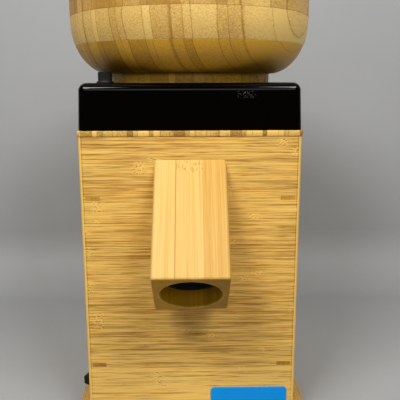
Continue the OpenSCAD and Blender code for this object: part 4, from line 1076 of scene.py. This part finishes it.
class MILL_OT_stage(bpy.types.Operator):
    """Set the floor, the backdrop, the lights and the camera"""
    bl_idname = "mill.stage"
    bl_label = "Stage"

    def execute(self, context):
        stage, colours = context.scene.mill_stage, context.scene.mill_colours
        self.floor(tuple(colours.floor), tuple(colours.wall))
        self.lights(stage)
        self.room(context.scene, stage.ambient)
        self.camera(context.scene, stage)
        return {"FINISHED"}

    def floor(self, floor_tint, wall_tint):
        """Sheets carried along x from a line in y and z: a floor that sweeps up behind the mill,
        a wall above it, and an apron in front of the lights that throws no light back on the
        mill."""
        wide, front, near, far, tall, cove = 1.6, -1.8, -0.32, 0.29, 1.6, 0.075
        sweep = np.concatenate([[[near, 0.0]], arc(far - cove, cove, cove, -90, 0, 24)])
        for name, line, tint, roughness in (
                ("floor", sweep, floor_tint, 0.55),
                ("wall", np.array([[far, cove], [far, 0.2], [far, tall]]), wall_tint, 0.8),
                ("apron", np.array([[front, 0.0], [near, 0.0]]), floor_tint, 0.55)):
            left, right = (np.insert(line, 0, x, 1) for x in (-wide, wide))
            k = 2 * np.arange(len(line) - 1)
            mesh = bpy.data.meshes.new("stage_" + name)
            mesh.from_pydata(np.stack([left, right], 1).reshape(-1, 3).tolist(), [],
                             np.stack([k, k + 1, k + 3, k + 2], -1).tolist())
            mesh.polygons.foreach_set("use_smooth", np.ones(len(k), bool))
            mesh.materials.append(studio_paint("Studio " + name, tint, roughness))
            sheet = bpy.data.objects.new("stage_" + name, mesh)
            bpy.context.scene.collection.objects.link(sheet)
            sheet.visible_diffuse = sheet.visible_glossy = name != "apron"

    def lights(self, stage):
        """Two softboxes in front at the left and right, above the camera, a dim frontal fill
        that also draws a line on gloss, and a wash on the backdrop."""
        middle = Vector((0, AXIS_Y, 0.20))
        for name, azimuth, elevation, distance, wide, deep, power in (
                ("Left softbox", -33, 46, 1.15, 0.46, 0.34, stage.left),
                ("Right softbox", 33, 46, 1.15, 0.46, 0.34, stage.right),
                ("Fill", 0, 22, 1.6, 1.4, 0.40, stage.fill)):
            place = self.around(middle, azimuth, elevation, distance)
            self.softbox(name, place, middle, wide, deep, power)
        self.softbox("Wall wash", Vector((0, 0.0, 1.3)), Vector((0, 0.34, 0.45)), 1.6, 0.3,
                     stage.wall)

    def around(self, middle, azimuth, elevation, distance):
        """The point at a distance from middle, azimuth degrees to the right of the front."""
        a, b = math.radians(azimuth), math.radians(elevation)
        return middle + distance * Vector(
            (math.sin(a) * math.cos(b), -math.cos(a) * math.cos(b), math.sin(b)))

    def softbox(self, name, place, target, wide, deep, power):
        """A rectangular light that faces its target."""
        lamp = bpy.data.lights.new(name, "AREA")
        lamp.shape = "RECTANGLE"
        lamp.size, lamp.size_y, lamp.energy = wide, deep, power
        box = bpy.data.objects.new(name, lamp)
        box.location = place
        box.rotation_euler = (target - place).to_track_quat("-Z", "Y").to_euler()
        bpy.context.scene.collection.objects.link(box)

    def room(self, scene, ambient):
        """A dim warm light from all round, and a pale grey where nothing stands before the
        room."""
        scene.view_settings.view_transform = "Standard"
        scene.world = scene.world or bpy.data.worlds.new("Room")
        scene.world.use_nodes = True
        tree = scene.world.node_tree
        dim = tree.nodes["Background"]
        dim.inputs["Color"].default_value = (1.0, 0.84, 0.55, 1)
        dim.inputs["Strength"].default_value = ambient
        pale = tree.nodes.new("ShaderNodeBackground")
        pale.inputs["Color"].default_value = (0.30, 0.305, 0.305, 1)
        seen = tree.nodes.new("ShaderNodeLightPath")
        mixed = tree.nodes.new("ShaderNodeMixShader")
        for source, target in (
                (seen.outputs["Is Camera Ray"], mixed.inputs[0]),
                (dim.outputs[0], mixed.inputs[1]), (pale.outputs[0], mixed.inputs[2]),
                (mixed.outputs[0], tree.nodes["World Output"].inputs["Surface"])):
            tree.links.new(source, target)

    def camera(self, scene, stage):
        """Forward: (sin yaw cos pitch, cos yaw cos pitch, -sin pitch), then rolled about
        itself."""
        data = bpy.data.cameras.new("Camera")
        data.sensor_width, data.lens = 36, stage.lens
        data.clip_start, data.clip_end = 0.01, 20
        eye = bpy.data.objects.new("Camera", data)
        scene.collection.objects.link(eye)
        turn = (Matrix.Rotation(-stage.yaw, 4, "Z") @ Matrix.Rotation(QUARTER - stage.pitch, 4, "X")
                @ Matrix.Rotation(-stage.roll, 4, "Z"))
        place = (stage.eye_x, AXIS_Y - stage.eye_back, DECK_Z + stage.eye_up)
        eye.matrix_world = Matrix.Translation(place) @ turn
        scene.camera = eye


class MILL_PT_panel(bpy.types.Panel):
    """Sizes, colours and steps of the grain mill"""
    bl_idname = "MILL_PT_panel"
    bl_label = "Grain mill"
    bl_space_type = "VIEW_3D"
    bl_region_type = "UI"
    bl_category = "Grain mill"

    def draw(self, context):
        for step in STEPS:
            self.layout.operator(step.bl_idname)
        scene = context.scene
        for group in (scene.mill_sizes, scene.mill_colours, scene.mill_stage):
            box = self.layout.box()
            for key in group.bl_rna.properties.keys():
                if key not in ("rna_type", "name"):
                    box.prop(group, key)


STEPS = (MILL_OT_finishes, MILL_OT_hopper, MILL_OT_lid, MILL_OT_cap, MILL_OT_spout,
         MILL_OT_base, MILL_OT_switch, MILL_OT_stage)
CLASSES = (MillSizes, MillColours, MillStage, *STEPS, MILL_PT_panel)


def register():
    for made in CLASSES:
        bpy.utils.register_class(made)
    bpy.types.Scene.mill_sizes = PointerProperty(type=MillSizes)
    bpy.types.Scene.mill_colours = PointerProperty(type=MillColours)
    bpy.types.Scene.mill_stage = PointerProperty(type=MillStage)


def unregister():
    del bpy.types.Scene.mill_stage, bpy.types.Scene.mill_colours, bpy.types.Scene.mill_sizes
    for made in reversed(CLASSES):
        bpy.utils.unregister_class(made)


def main():
    register()
    bpy.ops.mill.finishes()
    bpy.ops.mill.hopper()
    bpy.ops.mill.lid()
    bpy.ops.mill.cap()
    bpy.ops.mill.spout()
    bpy.ops.mill.base()
    bpy.ops.mill.switch()
    bpy.ops.mill.stage()


if __name__ == "__main__":
    main()
